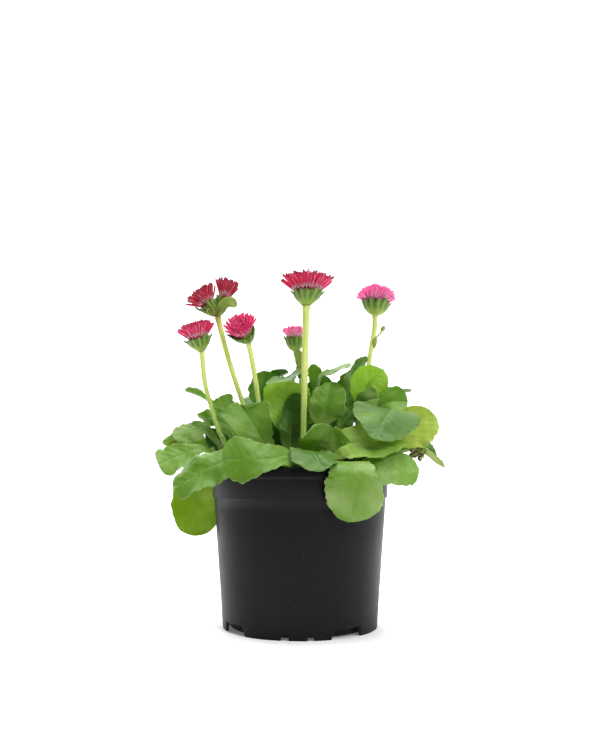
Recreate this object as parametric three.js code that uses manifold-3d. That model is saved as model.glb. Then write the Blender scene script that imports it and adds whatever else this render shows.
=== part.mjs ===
// A potted English daisy: a loose rosette of spoon-shaped leaves and six flower stalks that
// stand in peat, in a black nursery pot. Millimetres, +Z up. The origin is on the pot's axis,
// on the surface that it stands on, and the front of the plant faces -Y.
import * as THREE from "three";
import { mergeVertices } from "three/addons/utils/BufferGeometryUtils.js";
import Module from "manifold-3d";

const wasm = await Module();
wasm.setup();

// Driving dimensions
const CLEARANCE = 0.3;
const WELD_DISTANCE = 1e-4;

const POT_HEIGHT = 104.5;
const POT_LIP_RADIUS = 57.8;
const POT_LIP_DEPTH = 6.4;
const POT_COLLAR_RADIUS = 57.2;
const POT_COLLAR_DEPTH = 13;
const POT_WALL_TOP_RADIUS = 56.3;
const POT_BASE_RADIUS = 50.6;
const POT_WALL = 1.4;
const POT_FLOOR_RISE = 6;
const POT_FLOOR = 1.6;
const POT_PAD_RADIUS = 10;
const POT_PAN_RADIUS = 46;
const POT_PAN_RISE = 0.8;
const POT_DRAFT = 0.3;
const POT_COLLAR_SLOPE = 0.8;
const POT_LIP_SLOPE = 0.4;
const POT_LIP_ROUND = 0.7;
const POT_SIDES = 32;
const FOOT_COUNT = 4;
const FOOT_MIDDLE = -100;
const FOOT_GAP_BASE = 23;
const FOOT_GAP_TOP = 18;
const FOOT_NICKS = [
  { turn: -0.6, width: 5, height: 3 },
  { turn: 17.4, width: 4, height: 2 },
];
const DRAIN_LENGTH = 15;
const DRAIN_WIDTH = 5;
const DRAIN_RADIUS = 41;
const SKIRT_CUT_OVERLAP = 6;
const SKIRT_CUT_SHORT = 0.01;
const NICK_TAPER = 0.6;

const SOIL_TOP = 96;
const SOIL_EDGE = 94.5;
const SOIL_SIDES = 16;
const HOLE_DEPTH = 6;
const HOLE_SIDES = 5;
const FOOT_HEIGHT = SOIL_TOP - HOLE_DEPTH + CLEARANCE;

const STEM_HALF_WIDTH = 1.5;
const NECK_HALF_WIDTH = 2.4;
const NECK_LENGTH = -1 / 3;
const STEM_THICKNESS = 2.2;
const STEM_EDGE_THICKNESS = 1.3;
const RIB_THICKNESS = 1.1;
const BLADE_THICKNESS = 0.7;
const TIP_HALF_WIDTH = 1;
const WIDEST_AT = 0.62;
const ROUND_END = 2.3;
const OPENED_AT = 0.35;
const TOOTH_DEPTH = 0.05;
const WIDE_BLADE = 19;
// The places along a leaf where its shape is measured: 0 is its neck and 1 its tip
const STEM_STATIONS = [-0.5, -0.25, 0];
const WIDE_STATIONS = [0.15, 0.31, 0.46, 0.6, 0.73, 0.85, 0.95];
const NARROW_STATIONS = [0.2, 0.4, 0.58, 0.75, 0.9];
// The shares of the half width where the points across a leaf lie
const STEM_COLUMNS = [-1, 0, 1];
const WIDE_COLUMNS = [-1, -0.5, 0, 0.5, 1];
const RING_NEAR = 3;
const RING_FAR = 9;
const CLUMP_RADIUS = 4.5;
const CLUMP_HEIGHT = 8;
const CLUMP_TOP_RADIUS = 3.5;
const CLUMP_RING = 2.5;
const CLUMP_SINK = 1;
const CLUMP_SIDES = 6;
const CUP_POWER = 1.6;
const WAVE_POWER = 2;
const WAVES = 1.6;
const WAVE_OFFSET = 1.9;

const BRACT_COUNT = 6;
const BRACT_TIP = 1.6;
const CUP_WALL = 1;
const CUP_FLOOR = 0.25;
const CUP_FOOT = 1.12;
const CUP_NECK = 0.94;
const CUP_ROOT = 0.8;
const CUP_WAIST_AT = 0.5;
const CUP_FLOOR_RADIUS = 0.5;
const CONE_NECK = 1.5;
const CONE_WAIST = 0.64;
const BOWL_NECK = 0.5;
const BOWL_WAIST = 0.78;
const CORE_SHARE = 0.45;
const CORE_REACH = 0.86;
const CORE_DOME = 0.96;
const CORE_SINK = 0.25;
const CORE_LIFT = 0.48;
const CORE_SHOULDER = { radius: 0.95, height: 0.3 };
const CORE_BROW = { radius: 0.62, height: 0.8 };
const CORE_SIDES = 8;
const LEAN_POWER = 1.5;
const SIDE_DROP = 0.22;
const SIDE_DROP_POWER = 8;
const QUILL_SIDES = 3;
const QUILL_FOOT = 0.4;
const GOLDEN_ANGLE = Math.PI * (3 - Math.sqrt(5));
const TUBE_SIDES = 6;
const TUBE_STEPS = 2;
const SWELLING_SIDES = 7;
const SWELLING_RINGS = 5;

// Colours of the pieces
const COLOURS = {
  pot: 0x26272a,
  soil: 0x2b211b,
  leaf: 0x5d9138,
  grey: 0x6d9764,
  bright: 0x7fae2c,
  dark: 0x35611f,
  withered: 0x8a7a48,
  stalk: 0xa9c455,
  crimson: 0xc01d49,
  wine: 0xa01c40,
  pink: 0xe8559a,
};

const LIVING_ROUGHNESS = 0.5;
const POT_ROUGHNESS = 0.35;
const SOIL_ROUGHNESS = 0.95;

// The places where the plant's crowns sit in the peat: middle x and y
const CROWNS = {
  left: [-36, -4],
  front: [-14, -16],
  heart: [6, -2],
  back: [-4, 20],
  fore: [20, -14],
  right: [36, 4],
  edge: [42, 20],
  flank: [-34, 6],
  wing: [-36, 14],
  high: [-30, 18],
  side: [-28, 28],
  rear: [8, 38],
  corner: [30, 28],
};

// Each leaf: its crown, its colour, the neck, middle and tip of its blade, the blade's width, the
// direction across it (its turn from +X, its tilt upwards and, where it has one, its twist), how
// far its sides cup upwards and how high its margin waves
const LEAVES = [
  {
    name: "left_long", crown: "left", colour: "grey",
    blade: [[-61, -12, 115.5], [-77, -16, 111.5], [-92, -18.6, 105.2]],
    width: 24, across: [90, 50], cup: 0, wave: 1.5,
  },
  {
    name: "left_droop", crown: "front", colour: "leaf",
    blade: [[-37, -38, 109], [-58, -46, 102.5], [-77, -44, 90.5]],
    width: 28, across: [90, 50], cup: -0.1, wave: 1,
  },
  {
    name: "front_rim", crown: "front", colour: "leaf",
    blade: [[-3, -45, 110.4], [-22, -60, 109], [-46, -58, 110]],
    width: 27, across: [90, 54, -70], cup: -0.05, wave: 1.5,
  },
  {
    name: "front_small", crown: "fore", colour: "grey",
    blade: [[4, -40, 113.4], [8, -54, 112], [14, -65, 102.8]],
    width: 26, across: [180, 7], cup: -0.1, wave: 1.5,
  },
  {
    name: "front_drape", crown: "fore", colour: "grey",
    blade: [[27.5, -41, 107.6], [33.5, -61, 100], [29.5, -56, 72]],
    width: 37, across: [180, 0], cup: -0.05, wave: 1.2,
  },
  {
    name: "front_right", crown: "fore", colour: "grey",
    blade: [[43, -36.5, 108], [56, -42, 105], [73, -39, 102.5]],
    width: 28, across: [-90, -50], cup: -0.1, wave: 1,
  },
  {
    name: "front_broad", crown: "fore", colour: "bright",
    blade: [[20, -20, 115], [40, -33, 120], [66, -36, 118.5]],
    width: 31, across: [-90, -48], cup: 0.05, wave: 1.5,
  },
  {
    name: "right_grey", crown: "right", colour: "grey",
    blade: [[60, -12, 138], [53, -30, 134.5], [46, -46, 121]],
    width: 42, across: [180, 10], cup: -0.1, wave: 1,
  },
  {
    name: "right_outer", crown: "fore", colour: "bright",
    blade: [[62, -12, 119], [71, -11, 127], [85, -8, 141]],
    width: 29, across: [-90, -75], cup: 0.1, wave: 1,
  },
  {
    name: "right_curl", crown: "right", colour: "bright",
    blade: [[42, 6, 140], [44, 1, 158], [54, -5, 168.5]],
    width: 25, across: [0, 0], cup: 0.2, wave: 1,
  },
  {
    name: "right_disc", crown: "right", colour: "grey",
    blade: [[38, -1, 142], [44, -7.5, 147.5], [51, -12, 148.5]],
    width: 17, across: [-90, -75], cup: 0.1, wave: 0.5,
  },
  {
    name: "right_cup", crown: "edge", colour: "leaf",
    blade: [[50, 5, 137], [58, 1, 146.5], [71, -1, 147.4]],
    width: 21, across: [-90, -60], cup: 0.3, wave: 0.5,
  },
  {
    name: "right_edge", crown: "edge", colour: "dark",
    blade: [[55.5, 20, 153], [66, 20, 155], [76, 24, 156.5]],
    width: 14, across: [-90, 0], cup: 0.1, wave: 0.5,
  },
  {
    name: "middle_upright", crown: "fore", colour: "leaf",
    blade: [[14, -16, 129], [17, -16, 145], [20, -12, 159]],
    width: 24, across: [0, 0], cup: 0.05, wave: 1,
  },
  {
    name: "middle_strip", crown: "fore", colour: "leaf",
    blade: [[11.5, -8, 156], [22, -6, 166], [33.5, -2, 172]],
    width: 12, across: [-90, -20], cup: 0.1, wave: 0.5,
  },
  {
    name: "right_tip", crown: "right", colour: "grey",
    blade: [[31, 12, 156], [37, 12, 168], [45, 10, 178.5]],
    width: 11, across: [-60, -45], cup: 0.1, wave: 0.5,
  },
  {
    name: "right_dark", crown: "rear", colour: "dark",
    blade: [[31, 18, 141.5], [31, 18, 155], [34, 18, 169]],
    width: 15, across: [20, 0], cup: 0.1, wave: 0.5,
  },
  {
    name: "back_diamond", crown: "back", colour: "leaf",
    blade: [[12.5, 24, 146], [13, 24, 162], [8, 17, 174]],
    width: 12, across: [0, -10], cup: 0.1, wave: 0.5,
  },
  {
    name: "back_dark", crown: "rear", colour: "dark",
    blade: [[7, 30, 143], [11, 29, 155], [20, 27, 166]],
    width: 18, across: [0, -30], cup: 0.1, wave: 0.5,
  },
  {
    name: "back_grey", crown: "back", colour: "grey",
    blade: [[3.5, 14, 162.5], [-8, 8, 163], [-22, 2, 158.5]],
    width: 18, across: [90, 25], cup: 0, wave: 0.8,
  },
  {
    name: "middle_bright", crown: "back", colour: "bright",
    blade: [[-7, 2, 124], [-8.5, 2, 146], [-8, -4, 161]],
    width: 31, across: [0, 0], cup: 0.2, wave: 0.8,
  },
  {
    name: "middle_dark", crown: "front", colour: "dark",
    blade: [[-7, -6, 115], [-5.5, -5, 134], [-2, -4, 153]],
    width: 19, across: [0, 0], cup: 0.1, wave: 0.5,
  },
  {
    name: "front_fold", crown: "front", colour: "leaf",
    blade: [[-18, -25, 108.5], [-27, -28, 127], [-38, -24, 144]],
    width: 31, across: [20, 22], cup: 0.15, wave: 1,
  },
  {
    name: "back_left", crown: "side", colour: "grey",
    blade: [[-24, 17, 138], [-25, 16, 154.5], [-19.5, 14, 168.5]],
    width: 22, across: [10, 10], cup: 0.1, wave: 0.5,
  },
  {
    name: "back_roll", crown: "back", colour: "dark",
    blade: [[-24, 25, 157.5], [-17, 23, 165.5], [-8.5, 20, 170]],
    width: 14, across: [-90, 20], cup: 0.1, wave: 0.5,
  },
  {
    name: "left_upright", crown: "wing", colour: "leaf",
    blade: [[-44, 8, 128], [-48.5, 6, 140], [-54, 6, 150]],
    width: 20, across: [0, 25], cup: 0.15, wave: 0.5,
  },
  {
    name: "left_high", crown: "high", colour: "leaf",
    blade: [[-57, 13, 143], [-67, 10, 152.5], [-77, 7, 156]],
    width: 8, across: [90, 45], cup: 0.1, wave: 0.3,
  },
  {
    name: "left_notch", crown: "flank", colour: "leaf",
    blade: [[-44.5, 1.5, 127], [-55, 0.5, 135], [-68, -0.5, 139]],
    width: 13, across: [90, 60], cup: 0.1, wave: 0.4,
  },
  {
    name: "left_light", crown: "left", colour: "grey",
    blade: [[-60, 3, 128], [-71, 1, 128.5], [-84, -2, 124.5]],
    width: 18, across: [90, 50], cup: -0.2, wave: 0.6,
  },
  {
    name: "left_curl", crown: "wing", colour: "bright",
    blade: [[-60, 12, 118], [-78, 5, 123.5], [-91, 2, 120]],
    width: 12, across: [90, 45], cup: -0.1, wave: 0.5,
  },
  {
    name: "left_dark", crown: "flank", colour: "dark",
    blade: [[-48, 6.6, 116], [-55, 8, 123], [-63, 7.6, 128]],
    width: 13, across: [60, 45], cup: 0.1, wave: 0.4,
  },
  {
    name: "left_hanging", crown: "wing", colour: "bright",
    blade: [[-53, 26, 111], [-71, 25, 94], [-72.5, 22, 57]],
    width: 34, across: [140, 0, -70], cup: -0.1, wave: 1,
  },
  {
    name: "front_wavy", crown: "heart", colour: "leaf",
    blade: [[8, -28, 114], [13, -34, 121], [19, -38, 128]],
    width: 30, across: [0, 12], cup: 0.35, wave: 2.5,
  },
  {
    name: "fore_small", crown: "fore", colour: "dark",
    blade: [[26, -12, 128], [30, -12, 135], [34.5, -10, 142.5]],
    width: 12, across: [0, -40], cup: 0.1, wave: 0.3,
  },
  {
    name: "right_low", crown: "edge", colour: "dark",
    blade: [[54, 14, 110], [76, 10, 120], [91.5, 8, 112]],
    width: 9, across: [-90, -60], cup: 0.1, wave: 0.2,
  },
  {
    name: "right_withered", crown: "right", colour: "withered",
    blade: [[58, 6, 110.5], [80, 4, 115.5], [96.3, 5, 104]],
    width: 7, across: [-90, -50], cup: 0.1, wave: 0.2,
  },
  {
    name: "rear_right", crown: "corner", colour: "grey",
    blade: [[46, 34, 113], [61, 47, 111], [70, 57, 103]],
    width: 30, across: [-45, 0], cup: -0.1, wave: 1,
  },
  {
    name: "rear_high_left", crown: "side", colour: "grey",
    blade: [[-24, 34, 134], [-28, 42, 148], [-34, 50, 156]],
    width: 26, across: [20, 0], cup: 0.1, wave: 1,
  },
  {
    name: "side_high", crown: "side", colour: "leaf",
    blade: [[-44, 22, 126], [-51, 28, 136], [-59, 36, 141]],
    width: 22, across: [50, 0], cup: 0.1, wave: 1,
  },
  {
    name: "rear_side", crown: "edge", colour: "grey",
    blade: [[50, 28, 130], [57, 35, 140], [65, 42, 146]],
    width: 24, across: [-45, 0], cup: 0.1, wave: 1,
  },
];

// Clumps of leaves that grow from one crown, each with the crown's middle and its leaves' colour
const CLUMPS = [
  {
    name: "rear",
    crown: [8, 42],
    colour: "leaf",
    leaves: [
      {
        blade: [[4, 50, 108], [6, 62, 106], [8, 74.5, 95]],
        width: 32, across: [0, 0], cup: -0.1, wave: 1.2,
      },
      {
        blade: [[-18, 48, 112], [-30, 58, 114], [-41, 66, 108]],
        width: 30, across: [35, 0], cup: -0.05, wave: 1.2,
      },
      {
        blade: [[26, 48, 114], [34, 58, 117], [42, 68, 111]],
        width: 30, across: [-35, 0], cup: -0.05, wave: 1.2,
      },
      {
        blade: [[14, 46, 134], [22, 50, 148], [27, 58, 157]],
        width: 26, across: [-20, 0], cup: 0.1, wave: 1,
      },
    ],
  },
  {
    name: "core",
    crown: [14, 6],
    colour: "dark",
    leaves: [
      {
        blade: [[17, 1, 108], [21, -3, 124], [24, -3, 140]],
        width: 18, across: [10, 10], cup: 0.1, wave: 0.6,
      },
      {
        blade: [[20, 8, 106], [26.5, 7, 114], [31.5, 6, 121]],
        width: 16, across: [0, -37], cup: 0.1, wave: 0.5,
      },
      {
        blade: [[16, 10, 108], [19, 13, 130], [17, 14, 147]],
        width: 18, across: [-10, 5], cup: 0.1, wave: 0.6,
      },
      {
        blade: [[9, 5, 106], [8, 3, 118], [8, 4, 133]],
        width: 15, across: [0, -5], cup: 0.1, wave: 0.5,
      },
    ],
  },
  {
    name: "inner",
    crown: [-21, 11],
    colour: "dark",
    leaves: [
      {
        blade: [[-21, 8, 108], [-20, 5.5, 122], [-19, 4.5, 138]],
        width: 17, across: [0, 8], cup: 0.1, wave: 0.5,
      },
      {
        blade: [[-29, 14, 108], [-34.5, 17.5, 120], [-36, 20, 133]],
        width: 15, across: [20, 0], cup: 0.1, wave: 0.5,
      },
    ],
  },
  {
    name: "side",
    crown: [-36, 33],
    colour: "leaf",
    leaves: [
      {
        blade: [[-47, 35.5, 113.2], [-60, 45, 112], [-71, 52, 103]],
        width: 28, across: [45, 0], cup: -0.1, wave: 1,
      },
      {
        blade: [[-42, 31, 110], [-50, 31, 121], [-57, 32, 130]],
        width: 18, across: [0, 40], cup: 0.1, wave: 0.5,
      },
      {
        blade: [[-31, 36, 108], [-24, 38, 121], [-20, 41, 134]],
        width: 18, across: [15, -20], cup: 0.1, wave: 0.6,
      },
    ],
  },
];

// Each flower stalk: its radius, the points that it passes from the peat up, its bracts, threads
// and swellings, and its heads. A head has the middle of its cup's rim, the way it faces, its
// cup's radius and how much that cup is a bowl rather than a cone, and its florets' number, length,
// spread from the axis in degrees, tip radius, share of the length in the middle and colour
const STALKS = [
  {
    name: "main",
    radius: 2.1,
    path: [[2, -16, 97], [2.2, -16, 126], [3, -15, 165], [4, -14, 208.5]],
    bracts: [],
    threads: [],
    swellings: [],
    heads: [
      {
        name: "main",
        rim: [4.8, -14, 217],
        facing: [0.02, 0, 1],
        cup: { radius: 10.6, bowl: 0 },
        florets: { count: 30, length: 17, spread: 53, tip: 1.6, middle: 0.68, colour: "crimson" },
      },
    ],
  },
  {
    name: "right",
    radius: 1.65,
    path: [
      [36, 20, 97],
      [43, 15, 150],
      [46.6, 14, 174],
      [48.2, 14, 185],
      [50.2, 14, 196],
      [50.8, 14, 207.2],
    ],
    bracts: [],
    threads: [
      {
        radius: 0.7,
        path: [[50, 14, 190], [52.4, 13.5, 192.5], [54.2, 13, 194.5], [55.8, 13, 197]],
      },
    ],
    swellings: [
      { middle: [50, 14, 188.5], radius: 2.1, length: 9, lean: 8 },
      { middle: [56, 13, 197.6], radius: 1.5, length: 4, lean: 30 },
    ],
    heads: [
      {
        name: "right",
        rim: [51.2, 13, 215],
        facing: [0.1, 0.02, 1],
        cup: { radius: 9.4, bowl: 0.7 },
        florets: { count: 24, length: 8.6, spread: 60, tip: 1.5, middle: 1.45, colour: "pink" },
      },
    ],
  },
  {
    name: "small",
    radius: 1.6,
    path: [[3, 30, 97], [1.5, 24, 140], [0.4, 21, 168], [-2, 20, 178], [-3.3, 20, 184]],
    bracts: [
      {
        points: [[0, 20.4, 165], [0, 19, 169], [-0.4, 18, 177], [-2, 18.4, 185]],
        width: 6,
        across: [0, 0],
        cup: -0.3,
      },
    ],
    threads: [],
    swellings: [],
    heads: [
      {
        name: "small",
        rim: [-3.6, 20, 193],
        facing: [-0.05, -0.1, 1],
        cup: { radius: 6.8, bowl: 0.8 },
        florets: { count: 14, length: 7.6, spread: 44, tip: 1.3, middle: 0.9, colour: "pink" },
      },
    ],
  },
  {
    name: "left",
    radius: 1.5,
    path: [
      [-40, -12, 97],
      [-48, -8, 118],
      [-54, -6, 130.5],
      [-58, -6, 144],
      [-62, -6, 159],
      [-64, -6, 180],
    ],
    bracts: [],
    threads: [],
    swellings: [],
    heads: [
      {
        name: "left",
        rim: [-66.3, -7, 188],
        facing: [-0.26, -0.1, 1],
        cup: { radius: 8.6, bowl: 0 },
        florets: { count: 22, length: 11.8, spread: 42, tip: 1.5, middle: 0.9, colour: "crimson" },
      },
    ],
  },
  {
    name: "double",
    radius: 1.75,
    path: [[-26, 2, 97], [-33, 4, 130], [-47.4, 3, 176], [-54.8, 1, 205]],
    bracts: [
      {
        points: [[-54.5, -1, 204.5], [-52, -6.5, 208.5], [-46.5, -8, 212], [-41.2, -6.5, 209.4]],
        width: 7.5,
        across: [0, -65],
        cup: -0.25,
      },
    ],
    threads: [
      {
        radius: 0.6,
        path: [[-57, -2, 209], [-60, -5.4, 207.4], [-60.6, -6.6, 205.4], [-58.6, -6.8, 203.4]],
      },
    ],
    swellings: [],
    heads: [
      {
        name: "double_left",
        rim: [-61.2, 0, 211.6],
        facing: [-0.65, -0.1, 1],
        cup: { radius: 6.8, bowl: 0 },
        florets: { count: 18, length: 12.6, spread: 44, tip: 1.4, middle: 0.85, colour: "wine" },
      },
      {
        name: "double_right",
        rim: [-49.6, 0, 215.6],
        facing: [0.26, 0, 1],
        cup: { radius: 5.4, bowl: 0 },
        florets: { count: 14, length: 12.8, spread: 25, tip: 1.4, middle: 0.95, colour: "wine" },
      },
    ],
  },
  {
    name: "middle",
    radius: 1.65,
    path: [[-21, -4, 97], [-26.6, -4, 143.7], [-31, -4, 172], [-34, -4.5, 186.5]],
    bracts: [],
    threads: [],
    swellings: [],
    heads: [
      {
        name: "middle",
        rim: [-37.8, -10, 192],
        facing: [-0.3, -1, 1],
        cup: { radius: 8.3, bowl: 0.4 },
        florets: { count: 20, length: 10.6, spread: 32, tip: 1.4, middle: 0.9, colour: "crimson" },
      },
    ],
  },
];

const root = new THREE.Group();
const radians = THREE.MathUtils.degToRad;
const vector = (point) => new THREE.Vector3(...point);

function addPiece(name, geometry, colour, roughness) {
  const finish = { color: COLOURS[colour], roughness, metalness: 0 };
  const mesh = new THREE.Mesh(geometry, new THREE.MeshStandardMaterial(finish));
  mesh.name = name;
  root.add(mesh);
}

// Joining and cutting of closed shapes
function solidOf(geometry) {
  const bare = geometry.clone();
  bare.deleteAttribute("normal");
  bare.deleteAttribute("uv");
  const merged = mergeVertices(bare, WELD_DISTANCE);
  const triVerts = new Uint32Array(merged.index.array);
  const vertProperties = merged.attributes.position.array;
  return new wasm.Manifold(new wasm.Mesh({ numProp: 3, vertProperties, triVerts }));
}

function geometryOf(solid) {
  const mesh = solid.getMesh();
  const geometry = new THREE.BufferGeometry();
  geometry.setAttribute("position", new THREE.BufferAttribute(mesh.vertProperties, 3));
  geometry.setIndex(new THREE.BufferAttribute(mesh.triVerts, 1));
  return geometry;
}

function joined(solids) {
  return solids.reduce((whole, solid) => whole.add(solid));
}

function indexedGeometry(points, triangles) {
  const geometry = new THREE.BufferGeometry();
  const positions = points.flatMap((point) => point.toArray());
  geometry.setAttribute("position", new THREE.Float32BufferAttribute(positions, 3));
  geometry.setIndex(triangles);
  return geometry;
}

function turned(points, sides) {
  const profile = points.map(([radius, height]) => new THREE.Vector2(radius, height));
  return new THREE.LatheGeometry(profile, sides).rotateX(Math.PI / 2);
}

// The heights that the pot and the peat in it share
const LIP_FOOT = POT_HEIGHT - POT_LIP_DEPTH;
const COLLAR_FOOT = LIP_FOOT - POT_COLLAR_DEPTH;
const WALL_TOP = COLLAR_FOOT - POT_COLLAR_SLOPE;
const RING_TOP = POT_FLOOR_RISE + POT_FLOOR;
const PAN_TOP = POT_PAN_RISE + POT_FLOOR;

// The pot: one moulding, with a collar under its lip, and a floor that is a low pan inside a
// raised ring. Four feet stand under the ring.
function potGeometry() {
  const profile = [
    [0, 0],
    [POT_PAD_RADIUS, 0],
    [POT_PAD_RADIUS, POT_PAN_RISE],
    [POT_PAN_RADIUS, POT_PAN_RISE],
    [POT_PAN_RADIUS + POT_DRAFT, POT_FLOOR_RISE],
    [POT_BASE_RADIUS - POT_WALL + POT_DRAFT, POT_FLOOR_RISE],
    [POT_BASE_RADIUS - POT_WALL, 0],
    [POT_BASE_RADIUS, 0],
    [POT_WALL_TOP_RADIUS, WALL_TOP],
    [POT_COLLAR_RADIUS, COLLAR_FOOT],
    [POT_COLLAR_RADIUS, LIP_FOOT - POT_LIP_SLOPE],
    [POT_LIP_RADIUS, LIP_FOOT],
    [POT_LIP_RADIUS, POT_HEIGHT - POT_LIP_ROUND],
    [POT_LIP_RADIUS - POT_LIP_ROUND, POT_HEIGHT],
    [POT_COLLAR_RADIUS - POT_WALL, POT_HEIGHT],
    [POT_WALL_TOP_RADIUS - POT_WALL, WALL_TOP],
    [wallRadius(RING_TOP) - POT_WALL, RING_TOP],
    [POT_PAN_RADIUS - POT_WALL + POT_DRAFT, RING_TOP],
    [POT_PAN_RADIUS - POT_WALL, PAN_TOP],
    [0, PAN_TOP],
  ];
  let pot = solidOf(turned(profile, POT_SIDES));
  for (let foot = 0; foot < FOOT_COUNT; foot += 1) {
    const middle = FOOT_MIDDLE + (foot * 360) / FOOT_COUNT;
    const gap = middle + 180 / FOOT_COUNT;
    pot = pot.subtract(skirtCut(gap, FOOT_GAP_BASE, FOOT_GAP_TOP, POT_FLOOR_RISE));
    pot = pot.subtract(drainCut(gap));
    for (const nick of FOOT_NICKS) {
      const cut = skirtCut(middle + nick.turn, nick.width, nick.width * NICK_TAPER, nick.height);
      pot = pot.subtract(cut);
    }
  }
  return geometryOf(pot);
}

function wallRadius(height) {
  return THREE.MathUtils.lerp(POT_BASE_RADIUS, POT_WALL_TOP_RADIUS, height / COLLAR_FOOT);
}

// A gap with slanted ends in the skirt, which doesn't reach the pan inside it
function skirtCut(angle, base, top, height) {
  const below = 1;
  const flare = (below * (base - top)) / (2 * height);
  const outline = new THREE.Shape();
  outline.moveTo(-base / 2 - flare, -below);
  outline.lineTo(base / 2 + flare, -below);
  outline.lineTo(top / 2, height - SKIRT_CUT_SHORT);
  outline.lineTo(-top / 2, height - SKIRT_CUT_SHORT);
  const depth = POT_WALL + SKIRT_CUT_OVERLAP;
  const cut = new THREE.ExtrudeGeometry(outline, { depth, bevelEnabled: false });
  cut.rotateX(Math.PI / 2);
  cut.rotateZ(Math.PI / 2);
  cut.translate(POT_PAN_RADIUS + 2 * POT_DRAFT, 0, 0);
  cut.rotateZ(radians(angle));
  return solidOf(cut);
}

function drainCut(angle) {
  const slot = new THREE.BoxGeometry(DRAIN_WIDTH, DRAIN_LENGTH, 3 * POT_FLOOR);
  slot.translate(DRAIN_RADIUS, 0, PAN_TOP - POT_FLOOR / 2);
  slot.rotateZ(radians(angle));
  return solidOf(slot);
}

// The peat: it fills the pot, with a plain hole for each stalk
function soilGeometry(holes) {
  const inset = POT_WALL + CLEARANCE;
  const profile = [
    [0, PAN_TOP + CLEARANCE],
    [POT_PAN_RADIUS - inset, PAN_TOP + CLEARANCE],
    [POT_PAN_RADIUS - inset + POT_DRAFT, RING_TOP + CLEARANCE],
    [wallRadius(RING_TOP) - inset, RING_TOP + CLEARANCE],
    [POT_WALL_TOP_RADIUS - inset, WALL_TOP],
    [POT_WALL_TOP_RADIUS - inset, SOIL_EDGE],
    [0, SOIL_TOP],
  ];
  let soil = solidOf(turned(profile, SOIL_SIDES));
  for (const [x, y, radius] of holes) {
    const corner = radius / Math.cos(Math.PI / HOLE_SIDES);
    const hole = new THREE.CylinderGeometry(corner, corner, 2 * HOLE_DEPTH, HOLE_SIDES);
    hole.rotateX(Math.PI / 2);
    hole.translate(x, y, SOIL_TOP);
    soil = soil.subtract(solidOf(hole));
  }
  return geometryOf(soil);
}

// Leaves: a channelled stalk that widens into a spoon-shaped blade with a toothed margin
function leafParts({ crown, blade, width, across, cup, wave }) {
  const [crownX, crownY] = CROWNS[crown];
  const neck = blade[0];
  const out = new THREE.Vector3(neck[0] - crownX, neck[1] - crownY, 0);
  const reach = out.length();
  const lean = reach / Math.hypot(reach, neck[2] - SOIL_TOP);
  out.setLength(THREE.MathUtils.lerp(RING_NEAR, RING_FAR, lean));
  const foot = new THREE.Vector3(crownX + out.x, crownY + out.y, FOOT_HEIGHT);
  const start = new THREE.Vector3(foot.x, foot.y, SOIL_TOP + 1);
  const curve = smoothCurve([start, ...blade.map(vector)]);
  const twist = radians(across[2] ?? 0);
  return { foot, curve, across: compass(across), width, twist, cup, wave, phase: neck[0] };
}

function smoothCurve(points) {
  return new THREE.CatmullRomCurve3(points, false, "catmullrom");
}

// A direction from its turn about Z and its tilt upwards
function compass([turn, tilt]) {
  const level = Math.cos(radians(tilt));
  return new THREE.Vector3(
    level * Math.cos(radians(turn)),
    level * Math.sin(radians(turn)),
    Math.sin(radians(tilt)),
  );
}

function halfWidthAt(width, along) {
  if (along <= 0) {
    return THREE.MathUtils.lerp(NECK_HALF_WIDTH, STEM_HALF_WIDTH, Math.min(1, along / NECK_LENGTH));
  }
  if (along < WIDEST_AT) {
    const grown = Math.sin((Math.PI / 2) * (along / WIDEST_AT));
    return THREE.MathUtils.lerp(NECK_HALF_WIDTH, width / 2, grown);
  }
  const past = (along - WIDEST_AT) / (1 - WIDEST_AT);
  return Math.max((width / 2) * Math.sqrt(1 - past ** ROUND_END), TIP_HALF_WIDTH);
}

// One row of points across a leaf, on its upper and lower face
function leafRow(leaf, along, columns, tooth) {
  const place = (1 + 2 * along) / 3;
  const centre = leaf.curve.getPoint(place);
  const forward = leaf.curve.getTangent(place);
  const side = leaf.across.clone().projectOnPlane(forward).normalize();
  side.applyAxisAngle(forward, leaf.twist * (Math.max(along, 0) - 0.5));
  const up = side.clone().cross(forward);
  const halfWidth = halfWidthAt(leaf.width, along) * (1 - tooth);
  const opened = THREE.MathUtils.smoothstep(along, 0, OPENED_AT);
  return columns.map((u) => {
    const offset = Math.abs(u);
    const ripple = Math.sin(2 * Math.PI * WAVES * along + leaf.phase + (u > 0 ? WAVE_OFFSET : 0));
    const cupped = leaf.cup * halfWidth * offset ** CUP_POWER;
    const lift = opened * (cupped + leaf.wave * ripple * offset ** WAVE_POWER);
    const middle = centre
      .clone()
      .addScaledVector(side, u * halfWidth)
      .addScaledVector(up, lift);
    const edge = THREE.MathUtils.lerp(STEM_EDGE_THICKNESS, BLADE_THICKNESS, opened);
    const rib = THREE.MathUtils.lerp(STEM_THICKNESS, RIB_THICKNESS, opened);
    const half = (u === 0 ? rib : edge) / 2;
    return {
      u,
      top: middle.clone().addScaledVector(up, half),
      bottom: middle.clone().addScaledVector(up, -half),
    };
  });
}

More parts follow.
